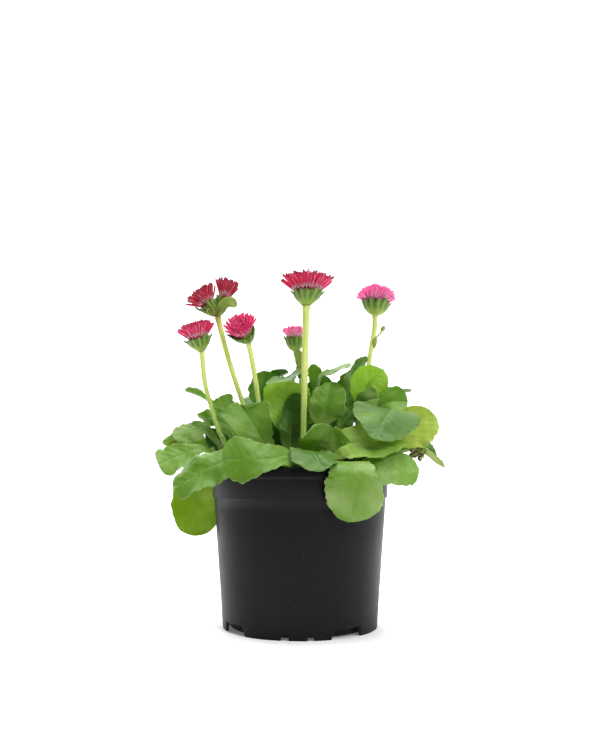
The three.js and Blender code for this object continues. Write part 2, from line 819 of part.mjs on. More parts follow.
// A clump: a short plug in the peat that all its leaves grow from
function clumpGeometry({ crown, leaves }) {
  const plug = new THREE.CylinderGeometry(CLUMP_TOP_RADIUS, CLUMP_RADIUS, CLUMP_HEIGHT, CLUMP_SIDES);
  plug.rotateX(Math.PI / 2);
  plug.translate(crown[0], crown[1], FOOT_HEIGHT + CLUMP_HEIGHT / 2);
  const sheets = leaves.map(({ blade, width, across, cup, wave }) => {
    const neck = blade[0];
    const out = new THREE.Vector3(neck[0] - crown[0], neck[1] - crown[1], 0);
    out.setLength(CLUMP_RING);
    const top = FOOT_HEIGHT + CLUMP_HEIGHT - CLUMP_SINK;
    const start = new THREE.Vector3(crown[0] + out.x, crown[1] + out.y, top);
    const curve = smoothCurve([start, ...blade.map(vector)]);
    const leaf = { curve, across: compass(across), width, twist: 0, cup, wave, phase: neck[0] };
    return solidOf(sheetGeometry(bladeRows(leaf)));
  });
  return geometryOf(joined([solidOf(plug), ...sheets]));
}

// The row in the peat, straight below the place where the stalk comes out of it
function footRow(leaf, first) {
  const start = leaf.curve.getPoint(0);
  const drop = leaf.foot.clone().sub(start);
  const level = (point) => new THREE.Vector3(point.x, point.y, start.z).add(drop);
  return first.map(({ u, top, bottom }) => ({ u, top: level(top), bottom: level(bottom) }));
}

function leafGeometry(leafRecord) {
  const leaf = leafParts(leafRecord);
  const rows = bladeRows(leaf);
  return sheetGeometry([footRow(leaf, rows[0]), ...rows]);
}

function bladeRows(leaf) {
  const wide = leaf.width > WIDE_BLADE;
  const stations = wide ? WIDE_STATIONS : NARROW_STATIONS;
  const columns = wide ? WIDE_COLUMNS : STEM_COLUMNS;
  return [
    ...STEM_STATIONS.map((along) => leafRow(leaf, along, STEM_COLUMNS, 0)),
    ...stations.map((along, index) => leafRow(leaf, along, columns, (index % 2) * TOOTH_DEPTH)),
    leafRow(leaf, 1, STEM_COLUMNS, 0),
  ];
}

// A closed sheet from its rows: both faces split alike, a wall round the edge
function sheetGeometry(rows) {
  const points = [];
  const numbered = rows.map((row) =>
    row.map(({ u, top, bottom }) => {
      const first = points.push(top, bottom) - 2;
      return { u, top: first, bottom: first + 1 };
    }),
  );
  const triangles = [];
  const face = (a, b, c) => triangles.push(a.top, b.top, c.top, a.bottom, c.bottom, b.bottom);
  const wall = (a, b) => triangles.push(a.bottom, b.bottom, b.top, a.bottom, b.top, a.top);
  for (let index = 1; index < numbered.length; index += 1) {
    const near = numbered[index - 1];
    const far = numbered[index];
    let i = 0;
    let j = 0;
    while (i < near.length - 1 || j < far.length - 1) {
      const farDone = j === far.length - 1;
      if (farDone || (i < near.length - 1 && near[i + 1].u <= far[j + 1].u)) {
        face(near[i], near[i + 1], far[j]);
        i += 1;
      } else {
        face(near[i], far[j + 1], far[j]);
        j += 1;
      }
    }
    wall(far[0], near[0]);
    wall(near[near.length - 1], far[far.length - 1]);
  }
  const last = numbered[numbered.length - 1];
  for (let i = 1; i < numbered[0].length; i += 1) {
    wall(numbered[0][i - 1], numbered[0][i]);
  }
  for (let i = 1; i < last.length; i += 1) {
    wall(last[i], last[i - 1]);
  }
  return indexedGeometry(points, triangles);
}

// Flower heads: a frame whose z axis is the head's own axis, at the middle of its cup's rim
function headMatrix(head) {
  const facing = vector(head.facing).normalize();
  const turn = new THREE.Quaternion().setFromUnitVectors(new THREE.Vector3(0, 0, 1), facing);
  return new THREE.Matrix4().compose(vector(head.rim), turn, new THREE.Vector3(1, 1, 1));
}

// The green cup: bracts grown together, their points standing up round its rim
function cupSolid(head, stalkEnd, stalkRadius) {
  const { radius, bowl } = head.cup;
  const end = vector(stalkEnd).applyMatrix4(headMatrix(head).invert());
  const sides = 2 * BRACT_COUNT;
  const neck = THREE.MathUtils.lerp(stalkRadius * CONE_NECK, radius * BOWL_NECK, bowl);
  const waist = radius * THREE.MathUtils.lerp(CONE_WAIST, BOWL_WAIST, bowl);
  const rings = [
    [CUP_FOOT, stalkRadius * CUP_ROOT, 0],
    [CUP_NECK, neck, 0],
    [CUP_WAIST_AT, waist, 0],
    [BRACT_TIP / -end.z, radius, BRACT_TIP],
    [BRACT_TIP / -end.z, radius - CUP_WALL, BRACT_TIP],
    [CUP_FLOOR, radius * CUP_FLOOR_RADIUS, 0],
  ];
  const points = [];
  for (const [down, ringRadius, zigzag] of rings) {
    for (let i = 0; i < sides; i += 1) {
      const angle = (2 * Math.PI * i) / sides;
      const rise = i % 2 === 0 ? zigzag : 0;
      const spoke = new THREE.Vector3(Math.cos(angle), Math.sin(angle), 0);
      const around = spoke.multiplyScalar(ringRadius).setZ(rise);
      points.push(around.addScaledVector(end, down));
    }
  }
  const below = points.push(end.clone().multiplyScalar(CUP_FOOT)) - 1;
  const inside = points.push(end.clone().multiplyScalar(CUP_FLOOR)) - 1;
  const triangles = [];
  for (let i = 0; i < sides; i += 1) {
    const next = (i + 1) % sides;
    triangles.push(below, next, i);
    for (let ring = 1; ring < rings.length; ring += 1) {
      const lower = (ring - 1) * sides;
      const upper = ring * sides;
      triangles.push(lower + i, lower + next, upper + next, lower + i, upper + next, upper + i);
    }
    const last = (rings.length - 1) * sides;
    triangles.push(last + i, last + next, inside);
  }
  return solidOf(indexedGeometry(points, triangles).applyMatrix4(headMatrix(head)));
}

// The florets: narrow quills set out in a spiral on a small core that sits in the cup
function floretGeometry(head, stalkEnd) {
  const { count, length, spread, tip, middle } = head.florets;
  const end = vector(stalkEnd).applyMatrix4(headMatrix(head).invert());
  const coreRadius = head.cup.radius - CUP_WALL - CLEARANCE;
  const coreHeight = length * CORE_SHARE;
  const coreFoot = end.z * CUP_FLOOR + CORE_LIFT;
  const middleX = end.x * CUP_FLOOR;
  const middleY = end.y * CUP_FLOOR;
  const core = turned(
    [
      [0, coreFoot],
      [head.cup.radius * CUP_FLOOR_RADIUS - CLEARANCE, coreFoot],
      [coreRadius - CLEARANCE, CORE_LIFT],
      [coreRadius * CORE_SHOULDER.radius, coreHeight * CORE_SHOULDER.height],
      [coreRadius * CORE_BROW.radius, coreHeight * CORE_BROW.height],
      [0, coreHeight],
    ],
    CORE_SIDES,
  );
  core.translate(middleX, middleY, 0);
  const solids = [solidOf(core)];
  for (let i = 0; i < count; i += 1) {
    const out = Math.sqrt((i + 0.5) / count);
    const lean = radians(spread) * out ** LEAN_POWER;
    const sunk = coreHeight * (Math.sqrt(1 - (CORE_DOME * out) ** 2) - CORE_SINK);
    const grown = length * THREE.MathUtils.lerp(middle, 1, out ** 2);
    const quill = quillGeometry(tip, grown * (1 - SIDE_DROP * out ** SIDE_DROP_POWER) - sunk);
    quill.rotateY(lean);
    quill.translate(out * coreRadius * CORE_REACH, 0, sunk);
    quill.rotateZ(i * GOLDEN_ANGLE);
    quill.translate(middleX, middleY, 0);
    solids.push(solidOf(quill));
  }
  return geometryOf(joined(solids)).applyMatrix4(headMatrix(head));
}

// One quill: three-sided, and widening from its foot to its tip
function quillGeometry(tip, reach) {
  const points = [];
  for (const [radius, height] of [[tip * QUILL_FOOT, 0], [tip, reach]]) {
    for (let i = 0; i < QUILL_SIDES; i += 1) {
      const angle = (2 * Math.PI * i) / QUILL_SIDES;
      points.push(new THREE.Vector3(radius * Math.cos(angle), radius * Math.sin(angle), height));
    }
  }
  const triangles = [0, 2, 1, 3, 4, 5];
  for (let i = 0; i < QUILL_SIDES; i += 1) {
    const next = (i + 1) % QUILL_SIDES;
    triangles.push(i, next, next + QUILL_SIDES, i, next + QUILL_SIDES, i + QUILL_SIDES);
  }
  return indexedGeometry(points, triangles);
}

// The stalks: a round tube up to each head's cup
function tubeSolid(points, radius) {
  const section = new THREE.Shape();
  for (let i = 0; i < TUBE_SIDES; i += 1) {
    const angle = (2 * Math.PI * i) / TUBE_SIDES;
    const corner = [radius * Math.cos(angle), radius * Math.sin(angle)];
    if (i === 0) {
      section.moveTo(...corner);
    } else {
      section.lineTo(...corner);
    }
  }
  const extrudePath = smoothCurve(points.map(vector));
  const steps = points.length + TUBE_STEPS;
  return solidOf(new THREE.ExtrudeGeometry(section, { steps, extrudePath }));
}

// A bract on a stalk: a small leaf whose foot is sunk in it
function bractSolid({ points, width, across, cup }) {
  const curve = smoothCurve(points.map(vector));
  const bract = { curve, across: compass(across), width, twist: 0, cup, wave: 0, phase: 0 };
  return solidOf(sheetGeometry(bladeRows(bract)));
}

function swellingSolid({ middle, radius, length, lean }) {
  const swelling = new THREE.SphereGeometry(radius, SWELLING_SIDES, SWELLING_RINGS);
  swelling.rotateX(Math.PI / 2);
  swelling.scale(1, 1, length / (2 * radius));
  swelling.rotateY(radians(lean));
  swelling.translate(...middle);
  return solidOf(swelling);
}

function stalkGeometry(stalk) {
  const [x, y] = stalk.path[0];
  const foot = [x, y, FOOT_HEIGHT];
  const end = stalk.path[stalk.path.length - 1];
  const cups = stalk.heads.map((head) => cupSolid(head, end, stalk.radius));
  const bracts = stalk.bracts.map(bractSolid);
  const threads = stalk.threads.map(({ path, radius }) => tubeSolid(path, radius));
  const swellings = stalk.swellings.map(swellingSolid);
  const tube = tubeSolid([foot, ...stalk.path], stalk.radius);
  return geometryOf(joined([tube, ...cups, ...bracts, ...threads, ...swellings]));
}

const holes = [];
for (const leaf of LEAVES) {
  const { foot } = leafParts(leaf);
  holes.push([foot.x, foot.y, STEM_HALF_WIDTH + 2 * CLEARANCE]);
  addPiece("leaf_" + leaf.name, leafGeometry(leaf), leaf.colour, LIVING_ROUGHNESS);
}
for (const clump of CLUMPS) {
  holes.push([...clump.crown, CLUMP_RADIUS + CLEARANCE]);
  addPiece("leaves_" + clump.name, clumpGeometry(clump), clump.colour, LIVING_ROUGHNESS);
}
for (const stalk of STALKS) {
  holes.push([stalk.path[0][0], stalk.path[0][1], stalk.radius + 2 * CLEARANCE]);
  addPiece("stalk_" + stalk.name, stalkGeometry(stalk), "stalk", LIVING_ROUGHNESS);
  for (const head of stalk.heads) {
    const florets = floretGeometry(head, stalk.path[stalk.path.length - 1]);
    addPiece("florets_" + head.name, florets, head.florets.colour, LIVING_ROUGHNESS);
  }
}
addPiece("pot", potGeometry(), "pot", POT_ROUGHNESS);
addPiece("soil", soilGeometry(holes), "soil", SOIL_ROUGHNESS);

export default root;
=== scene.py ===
# %% [markdown]
# # A potted English daisy
# A bedding daisy in bloom, still in the black nursery pot that it was grown in. The CAD model
# holds its plain solids. This lesson dresses them: every leaf, flower stalk and flower head
# gets a fine mesh and a finish of its own, in the place of the solid that it stands for.
# The tables give millimetres and degrees, and Blender works in metres.

# %% Load the frame
import math

import bpy
import numpy as np
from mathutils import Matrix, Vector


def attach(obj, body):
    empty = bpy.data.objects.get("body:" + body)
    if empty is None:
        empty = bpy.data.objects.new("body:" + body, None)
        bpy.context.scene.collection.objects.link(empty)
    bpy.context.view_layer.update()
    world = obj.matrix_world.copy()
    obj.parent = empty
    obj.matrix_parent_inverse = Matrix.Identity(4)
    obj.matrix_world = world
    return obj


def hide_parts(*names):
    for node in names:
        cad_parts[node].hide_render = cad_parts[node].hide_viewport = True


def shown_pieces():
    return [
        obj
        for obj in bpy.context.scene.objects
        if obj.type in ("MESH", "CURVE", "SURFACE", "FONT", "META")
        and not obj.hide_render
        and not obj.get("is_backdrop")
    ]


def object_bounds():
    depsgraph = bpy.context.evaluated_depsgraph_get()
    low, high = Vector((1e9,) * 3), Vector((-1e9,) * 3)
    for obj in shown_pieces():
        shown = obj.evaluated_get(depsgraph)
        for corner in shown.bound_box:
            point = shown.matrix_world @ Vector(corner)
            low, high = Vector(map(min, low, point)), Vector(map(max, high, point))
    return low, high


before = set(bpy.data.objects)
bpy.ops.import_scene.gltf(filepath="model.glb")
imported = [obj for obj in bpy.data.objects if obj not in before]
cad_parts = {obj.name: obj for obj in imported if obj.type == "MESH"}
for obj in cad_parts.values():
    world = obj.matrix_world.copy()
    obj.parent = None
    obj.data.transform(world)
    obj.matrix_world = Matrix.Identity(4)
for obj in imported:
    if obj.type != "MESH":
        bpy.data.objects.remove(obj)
cad_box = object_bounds()
MM = 0.001
print("CAD nodes:", len(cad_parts))

# %% [markdown]
# ## The camera
# The photograph was taken from low down, level with the pot's rim. A level camera keeps the
# pot's sides straight, and a small upward shift puts the horizon where the photograph has it,
# below the middle of the frame. Tilting the camera would do the same, but the sides would lean.

# %% Camera
PHOTO_HEIGHT = 756
FOCAL_LENGTH_PIXELS = 849.3
HORIZON_ROW = 463
CAMERA_DISTANCE = 560
CAMERA_HEIGHT = 107
SENSOR_WIDTH = 36

lens = bpy.data.cameras.new("camera")
lens.sensor_width = SENSOR_WIDTH
lens.lens = SENSOR_WIDTH * FOCAL_LENGTH_PIXELS / PHOTO_HEIGHT
lens.shift_y = (HORIZON_ROW - PHOTO_HEIGHT / 2) / PHOTO_HEIGHT
camera = bpy.data.objects.new("camera", lens)
camera.location = (0, -CAMERA_DISTANCE * MM, CAMERA_HEIGHT * MM)
camera.rotation_euler = (math.pi / 2, 0, 0)
bpy.context.scene.collection.objects.link(camera)
bpy.context.scene.camera = camera
bpy.context.scene.view_settings.view_transform = "Standard"
print("lens", round(lens.lens, 2), "mm, shift", round(lens.shift_y, 4))

# %% [markdown]
# ## Colours and materials
# A colour is given as the hex value that a screen shows, and Blender calculates with linear
# light, so one function turns the first into the second.
# textures measure the surface, mixes turn them into colours, and a shader answers to light.
# One function adds any node, with its settings and whatever is linked or set on its inputs.

# %% Helpers for materials
RGBA = {"data_type": "RGBA"}
SMOOTH = {"interpolation_type": "SMOOTHSTEP"}
MULTIPLY, MAXIMUM, SCALE_AND_ADD = ({"operation": name}
                                   for name in ("MULTIPLY", "MAXIMUM", "MULTIPLY_ADD"))


def linear(hex_colour):
    """The linear colour, with full alpha, of a screen colour such as #5d9138."""
    values = [int(hex_colour[i:i + 2], 16) / 255 for i in (1, 3, 5)]
    return [v / 12.92 if v <= 0.04045 else ((v + 0.055) / 1.055) ** 2.4 for v in values] + [1]


def add(tree, kind, settings=None, inputs=(), output=0):
    """Adds a shader node, sets its options, links or sets its inputs, and gives one output."""
    node = tree.nodes.new("ShaderNode" + kind)
    for option, value in (settings or {}).items():
        setattr(node, option, value)
    for socket, value in dict(inputs if isinstance(inputs, dict) else enumerate(inputs)).items():
        if isinstance(value, bpy.types.NodeSocket):
            tree.links.new(value, node.inputs[socket])
        else:
            node.inputs[socket].default_value = value
    return node.outputs[output] if node.outputs else None


def empty_material(name):
    """A new material with nothing in its tree but the output."""
    material = bpy.data.materials.new(name)
    material.use_nodes = True
    material.node_tree.nodes.clear()
    output = material.node_tree.nodes.new("ShaderNodeOutputMaterial")
    return material, material.node_tree, output.inputs["Surface"]


print("middle grey in linear light:", round(linear("#808080")[0], 3))

# %% [markdown]
# ## Floor and light
# The plant stands in a white studio: a pale floor that curves up into the backdrop, a large
# soft box above and in front, and a bright backdrop that shines through the thin leaves. The
# camera's own side is dimmer, which is why the front of the pot stays nearly black.

# %% Floor
FLOOR_HALF_WIDTH = 3000
FLOOR_FRONT = -420
SWEEP_START = 900
SWEEP_RADIUS = 700
WALL_TOP = 2600
FULL_GLOW_HEIGHT = 300
FLOOR_GLOW, WALL_GLOW = 0.12, 0.85

sweep = [(SWEEP_START + SWEEP_RADIUS * math.sin(a), SWEEP_RADIUS * (1 - math.cos(a)))
         for a in np.linspace(0, math.pi / 2, 13)]
profile = [(FLOOR_FRONT, 0), *sweep, (SWEEP_START + SWEEP_RADIUS, WALL_TOP)]
floor_points = [(x * MM, y * MM, z * MM) for y, z in profile
                for x in (-FLOOR_HALF_WIDTH, FLOOR_HALF_WIDTH)]
floor_faces = [(2 * i, 2 * i + 1, 2 * i + 3, 2 * i + 2) for i in range(len(profile) - 1)]
floor_mesh = bpy.data.meshes.new("floor")
floor_mesh.from_pydata(floor_points, [], floor_faces)
wall = floor_mesh.attributes.new("wall", "FLOAT", "POINT")
wall.data.foreach_set("value", [min(1.0, z / (FULL_GLOW_HEIGHT * MM)) for x, y, z in floor_points])
floor_mesh.shade_smooth()
floor = bpy.data.objects.new("floor", floor_mesh)
bpy.context.scene.collection.objects.link(floor)
floor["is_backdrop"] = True

paper, tree, surface = empty_material("matte white studio paper")
fibres = add(tree, "TexNoise", inputs={"Scale": 60.0})
white = add(tree, "Mix", RGBA, {0: fibres, 6: linear("#f4f4f4"), 7: linear("#fafafa")}, 2)
on_wall = add(tree, "Attribute", {"attribute_name": "wall"}, output="Fac")
glow = add(tree, "MapRange", None, {0: on_wall, 3: FLOOR_GLOW, 4: WALL_GLOW})
tree.links.new(add(tree, "BsdfPrincipled", None, {
    "Base Color": white, "Roughness": 0.9, "Emission Color": linear("#ffffff"),
    "Emission Strength": glow}), surface)
floor_mesh.materials.append(paper)
print("floor faces:", len(floor_faces))

# %% Light
world = bpy.data.worlds.new("studio")
world.use_nodes = True
bpy.context.scene.world = world
tree = world.node_tree
tree.nodes.clear()
seen = add(tree, "Background", None, {"Color": linear("#ffffff"), "Strength": 1.0})
lit = add(tree, "Background", None, {"Color": linear("#eef3fa"), "Strength": 0.1})
by_camera = add(tree, "LightPath", output="Is Camera Ray")
add(tree, "OutputWorld", None, {"Surface": add(tree, "MixShader", None, [by_camera, lit, seen])})

PLANT_MIDDLE = (0, 0, 120)
SOFT_BOXES = {
    "top": {"at": (100, -100, 1400), "size": 800, "watts": 20},
    "key": {"at": (700, -1000, 1100), "size": 500, "watts": 12},
    "rear": {"at": (-300, 800, 900), "size": 1000, "watts": 16},
}
for name, box in SOFT_BOXES.items():
    light = bpy.data.lights.new(name, "AREA")
    light.shape = "SQUARE"
    light.size = box["size"] * MM
    light.energy = box["watts"]
    holder = bpy.data.objects.new(name, light)
    holder.location = [v * MM for v in box["at"]]
    aim = Vector([v * MM for v in PLANT_MIDDLE]) - holder.location
    holder.rotation_euler = aim.to_track_quat("-Z", "Y").to_euler()
    bpy.context.scene.collection.objects.link(holder)
print("lights:", len(SOFT_BOXES))

# %% [markdown]
# ## Meshes
# Everything that grows is made of two shapes: a sheet with an upper and a lower face, for
# leaves and bracts, and a tube, for stalks, threads and florets. Both follow a smooth curve
# through a few points. Each vertex also carries numbers, such as how far it is from the
# midrib, and the materials read them, so a vein stays on its leaf however the leaf bends.

# %% Helpers for curves
def unit(vectors):
    """The same directions, each of length 1."""
    return vectors / np.linalg.norm(vectors, axis=-1, keepdims=True)


def smooth_curve(points, place):
    """Points and directions on the curve through some points, with place from 0 to 1."""
    points = np.asarray(points, float)
    posts = np.vstack([2 * points[0] - points[1], points, 2 * points[-1] - points[-2]])
    spot = np.clip(place, 0, 1) * (len(points) - 1)
    first = np.minimum(spot.astype(int), len(points) - 2)
    t = (spot - first)[:, None]
    p0, p1, p2, p3 = (posts[first + k] for k in range(4))
    leave, arrive = (p2 - p0) / 2, (p3 - p1) / 2
    cube = 2 * p1 - 2 * p2 + leave + arrive
    square = 3 * (p2 - p1) - 2 * leave - arrive
    return ((cube * t + square) * t + leave) * t + p1, (3 * cube * t + 2 * square) * t + leave


def blend(a, b, share):
    """The value at a share of the way from a to b."""
    return a + (b - a) * share


def ease(value, start, end):
    """Goes smoothly from 0 at start to 1 at end."""
    t = np.clip((value - start) / (end - start), 0, 1)
    return t * t * (3 - 2 * t)


print("a quarter of the way, eased:", ease(0.25, 0, 1))

# %% Helpers for meshes
def grid_faces(rows, columns, closed=False):
    """The quads of a grid of points, whose columns may close into a ring."""
    index = np.arange(rows * columns).reshape(rows, columns)
    if closed:
        index = np.hstack([index, index[:, :1]])
    corners = index[:-1, :-1], index[:-1, 1:], index[1:, 1:], index[1:, :-1]
    return np.stack(corners, -1).reshape(-1, 4)


def sheet(upper, lower, values):
    """A closed sheet from two grids of points, with the same values on both faces."""
    rows, columns = upper.shape[:2]
    count = rows * columns
    top = grid_faces(rows, columns)
    index = np.arange(count).reshape(rows, columns)
    loop = np.concatenate([index[0, :-1], index[:-1, -1], index[-1, :0:-1], index[:0:-1, 0]])
    ahead = np.roll(loop, -1)
    edge = np.stack([ahead, loop, loop + count, ahead + count], -1)
    faces = np.concatenate([top, top[:, ::-1] + count, edge])
    under = np.repeat([0.0, 1.0], count)
    doubled = {name: np.tile(np.broadcast_to(v, (rows, columns)).ravel(), 2)
               for name, v in values.items()}
    points = np.concatenate([upper.reshape(-1, 3), lower.reshape(-1, 3)])
    return {"points": points, "faces": faces.tolist(), "values": {**doubled, "under": under}}


def tube(centres, radii, sides, values, ridges=0, depth=0.0):
    """A tube along some points, with closed ends and, if wanted, ridges along it."""
    forward = unit(np.gradient(centres, axis=0))
    side = np.zeros_like(forward)
    side[0] = unit(np.cross(forward[0], [0.3, 1, 0.1]))
    for i in range(1, len(forward)):
        side[i] = unit(side[i - 1] - (side[i - 1] @ forward[i]) * forward[i])
    other = np.cross(forward, side)
    angle = np.linspace(0, 2 * math.pi, sides, endpoint=False)
    rim = radii[:, None] * (1 + depth * np.cos(ridges * angle))
    around = (np.cos(angle)[:, None] * side[:, None] + np.sin(angle)[:, None] * other[:, None])
    points = centres[:, None] + rim[..., None] * around
    rows = len(centres)
    faces = grid_faces(rows, sides, closed=True).tolist()
    faces += [list(range(sides))[::-1], list(range((rows - 1) * sides, rows * sides))]
    spread = {name: np.repeat(np.broadcast_to(v, rows), sides) for name, v in values.items()}
    return {"points": points.reshape(-1, 3), "faces": faces, "values": spread}


def piece(name, node, shapes, materials):
    """One object in metres from some shapes, riding with the plant in a CAD node's place."""
    points, faces, kinds, total = [], [], [], 0
    names = sorted({key for shape in shapes for key in shape["values"]})
    values = {key: [] for key in names}
    for shape in shapes:
        count = len(shape["points"])
        points.append(shape["points"])
        faces += [[i + total for i in face] for face in shape["faces"]]
        kinds += [shape.get("material", 0)] * len(shape["faces"])
        for key in names:
            values[key].append(shape["values"].get(key, np.zeros(count)))
        total += count
    mesh = bpy.data.meshes.new(name)
    mesh.from_pydata((np.concatenate(points) * MM).tolist(), [], faces)
    for key in names:
        attribute = mesh.attributes.new(key, "FLOAT", "POINT")
        attribute.data.foreach_set("value", np.concatenate(values[key]).astype(np.float32))
    for material in materials:
        mesh.materials.append(material)
    mesh.polygons.foreach_set("material_index", kinds)
    mesh.shade_smooth()
    made = bpy.data.objects.new(name, mesh)
    bpy.context.scene.collection.objects.link(made)
    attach(made, "root")
    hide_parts(node)
    return made


print("quads in a ring of 3 rows and 8 columns:", len(grid_faces(3, 8, closed=True)))

# %% [markdown]
# ## The leaf's finish
# A daisy leaf is matte green tissue under a thin waxy skin. Its upper face has grey-green
# patches of painted sheen, which stand for the sky mirrored in the wax, and pale flecks of
# painted glints; its margin is a pale line, and it lets light through, so a leaf with the
# backdrop behind it glows yellow-green. Painted images could show all that, but the pattern
# must lie on the real veins, so the nodes measure it from the numbers on each vertex.
# Lateral veins leave the midrib every 5 mm. The fine net between them has meshes of about
# 1 mm, which is drawn here at 2.2 mm, as coarse as it needs to be to show.

# %% Leaf materials
VEIN_SPACING = 5.0
VEIN_SLOPE = 0.8
VEIN_HALF_WIDTH = 0.45
NET_MESH = 2.2
LEAF_IOR = 1.42


def leaf_material(name, face, painted_sheen, under, glow, glow_share):
    """Daisy leaf tissue: the face's colour, its painted sheen patches, its underside and its glow."""
    material, tree, surface = empty_material(name)
    place = add(tree, "TexCoord", output="Object")
    across, along, edge, below = (add(tree, "Attribute", {"attribute_name": value}, output="Fac")
                                  for value in ("across_mm", "along_mm", "edge", "under"))
    distance = add(tree, "Math", {"operation": "ABSOLUTE"}, [across])
    cloud, fine, grain = (
        add(tree, "TexNoise", None, {"Vector": place, "Scale": scale, "Detail": detail})
        for scale, detail in ((45.0, 3.0), (520.0, 2.0), (1400.0, 2.0)))
    freckles, grit = (
        add(tree, "TexVoronoi", {"feature": "F1"}, {"Vector": place, "Scale": scale}, "Distance")
        for scale in (150.0, 210.0))
    net = add(tree, "TexVoronoi", {"feature": "DISTANCE_TO_EDGE"},
              {"Vector": place, "Scale": 1000 / NET_MESH}, "Distance")

    # Veins: laterals that slant forward from the midrib, the fine net, and the midrib itself
    bent = add(tree, "Math", SCALE_AND_ADD, [cloud, 4.0, along])
    ahead = add(tree, "Math", SCALE_AND_ADD, [distance, -VEIN_SLOPE, bent])
    gap = add(tree, "Math", {"operation": "PINGPONG"}, [ahead, VEIN_SPACING / 2])
    lateral = add(tree, "MapRange", SMOOTH, [gap, 0.0, VEIN_HALF_WIDTH, 1.0, 0.0])
    rib = add(tree, "MapRange", SMOOTH, [distance, 0.2, 0.75, 1.0, 0.0])
    # Each share: what is measured, from and to which measures, and the shares there
    fading, far, mesh_line, painted_sheen_patch, glint_area, glint_fleck, spot, dot, pale, stalk, rough = (
        add(tree, "MapRange", None, limits) for limits in (
            [edge, 0.2, 0.9, 0.2, 0.0], [along, 4.0, 26.0, 0.6, 0.14], [net, 0.0, 0.12, 0.1, 0.0],
            [cloud, 0.42, 0.64], [cloud, 0.54, 0.68], [fine, 0.6, 0.72, 0.0, 0.75],
            [freckles, 0.05, 0.1, 0.75, 0.0], [grit, 0.04, 0.08, 0.8, 0.0],
            [edge, 0.95, 1.0, 0.0, 0.6], [along, -6.0, 9.0, 0.8, 0.0], [cloud, 0.3, 0.7, 0.42, 0.6]))
    vein = add(tree, "Math", MULTIPLY, [lateral, fading])
    midrib = add(tree, "Math", MULTIPLY, [rib, far])
    # Pale flecks where the sheen patches are strongest: painted glints
    painted_glints = add(tree, "Math", MULTIPLY, [glint_fleck, glint_area])
    lines = add(tree, "Math", MAXIMUM, [add(tree, "Math", MAXIMUM, [vein, mesh_line]), midrib])

    # Grey-green patches over the face: painted sheen, the sky mirrored in the waxy skin
    upper = add(tree, "Mix", RGBA, {0: painted_sheen_patch, 6: linear(face), 7: linear(painted_sheen)}, 2)
    # Over the face: veins, dark freckles, grit, painted glints, the pale margin and the stalk
    for share, tone in ((lines, "#a3bf62"), (spot, "#2f4a1c"), (dot, "#c9d8ae"), (painted_glints, "#c6daa6"),
                        (pale, "#b3ca80"), (stalk, "#8fb04a")):
        upper = add(tree, "Mix", RGBA, {0: share, 6: upper, 7: linear(tone)}, 2)
    lower, shining = (add(tree, "Mix", RGBA, {0: lines, 6: linear(tissue), 7: linear(vein_tone)}, 2)
                      for tissue, vein_tone in ((under, "#a9c378"), (glow, "#6c8c08")))
    colour = add(tree, "Mix", RGBA, {0: below, 6: upper, 7: lower}, 2)
    height = add(tree, "Math", SCALE_AND_ADD, [lines, -0.8, grain])
    relief = add(tree, "Bump", None, {"Strength": 0.35, "Distance": 0.0003, "Height": height})
    skin = add(tree, "BsdfPrincipled", None, {
        "Base Color": colour, "Roughness": rough, "IOR": LEAF_IOR, "Normal": relief,
        "Sheen Weight": 0.08, "Sheen Roughness": 0.5})
    through = add(tree, "BsdfTranslucent", None, {"Color": shining, "Normal": relief})
    tree.links.new(add(tree, "MixShader", None, [glow_share, skin, through]), surface)
    return material


# Each kind: name, face colour, painted sheen colour, underside, glow colour and glow share
LEAF_KINDS = {kind: leaf_material(*finish) for kind, *finish in [
    ("leaf", "daisy leaf green", "#649022", "#86aa4a", "#86a65c", "#9cc60c", 0.34),
    ("grey", "daisy leaf grey green", "#4b7a1c", "#6e943c", "#7c9c58", "#80b008", 0.3),
    ("pale", "daisy leaf dusty green", "#78a23a", "#9cba68", "#8fac6a", "#a4c830", 0.34),
    # Leaf green painted lighter, for a leaf that the backdrop lights from behind
    ("painted_lit", "daisy leaf painted lit", "#9ab63c", "#b2ca5c", "#a0b444", "#c6d03c", 0.38),
    ("sunlit", "sunlit daisy leaf", "#a0cc4a", "#b8dc6a", "#a2c652", "#bede30", 0.44),
    ("bright", "daisy leaf backlit", "#6c8e08", "#92ac2c", "#7ea022", "#a4c000", 0.48),
    ("dark", "daisy leaf in shade", "#386608", "#4e7c1a", "#507a26", "#62a004", 0.34),
    ("withered", "withered daisy leaf", "#8aa848", "#9aa860", "#7c8a48", "#a8c050", 0.25),
    ("dead", "dead daisy leaf", "#5c4322", "#7d6138", "#4a3416", "#7a5420", 0.1),
]}
print("leaf materials:", len(LEAF_KINDS))

# %% [markdown]
# ## The leaf's shape
# A daisy leaf is a spoon: a channelled stalk that widens slowly, then a rounded blade with
# shallow teeth. Its blade is drawn as a strip that is swept along the leaf's curve. The strip
# gets the same width, cup and waves as the CAD solid, and over them the small things that the
# solid leaves out: round teeth every 4.4 mm, a sunken midrib, and tissue that swells between
# the lateral veins. Modelling each leaf by hand would take days and look no better.

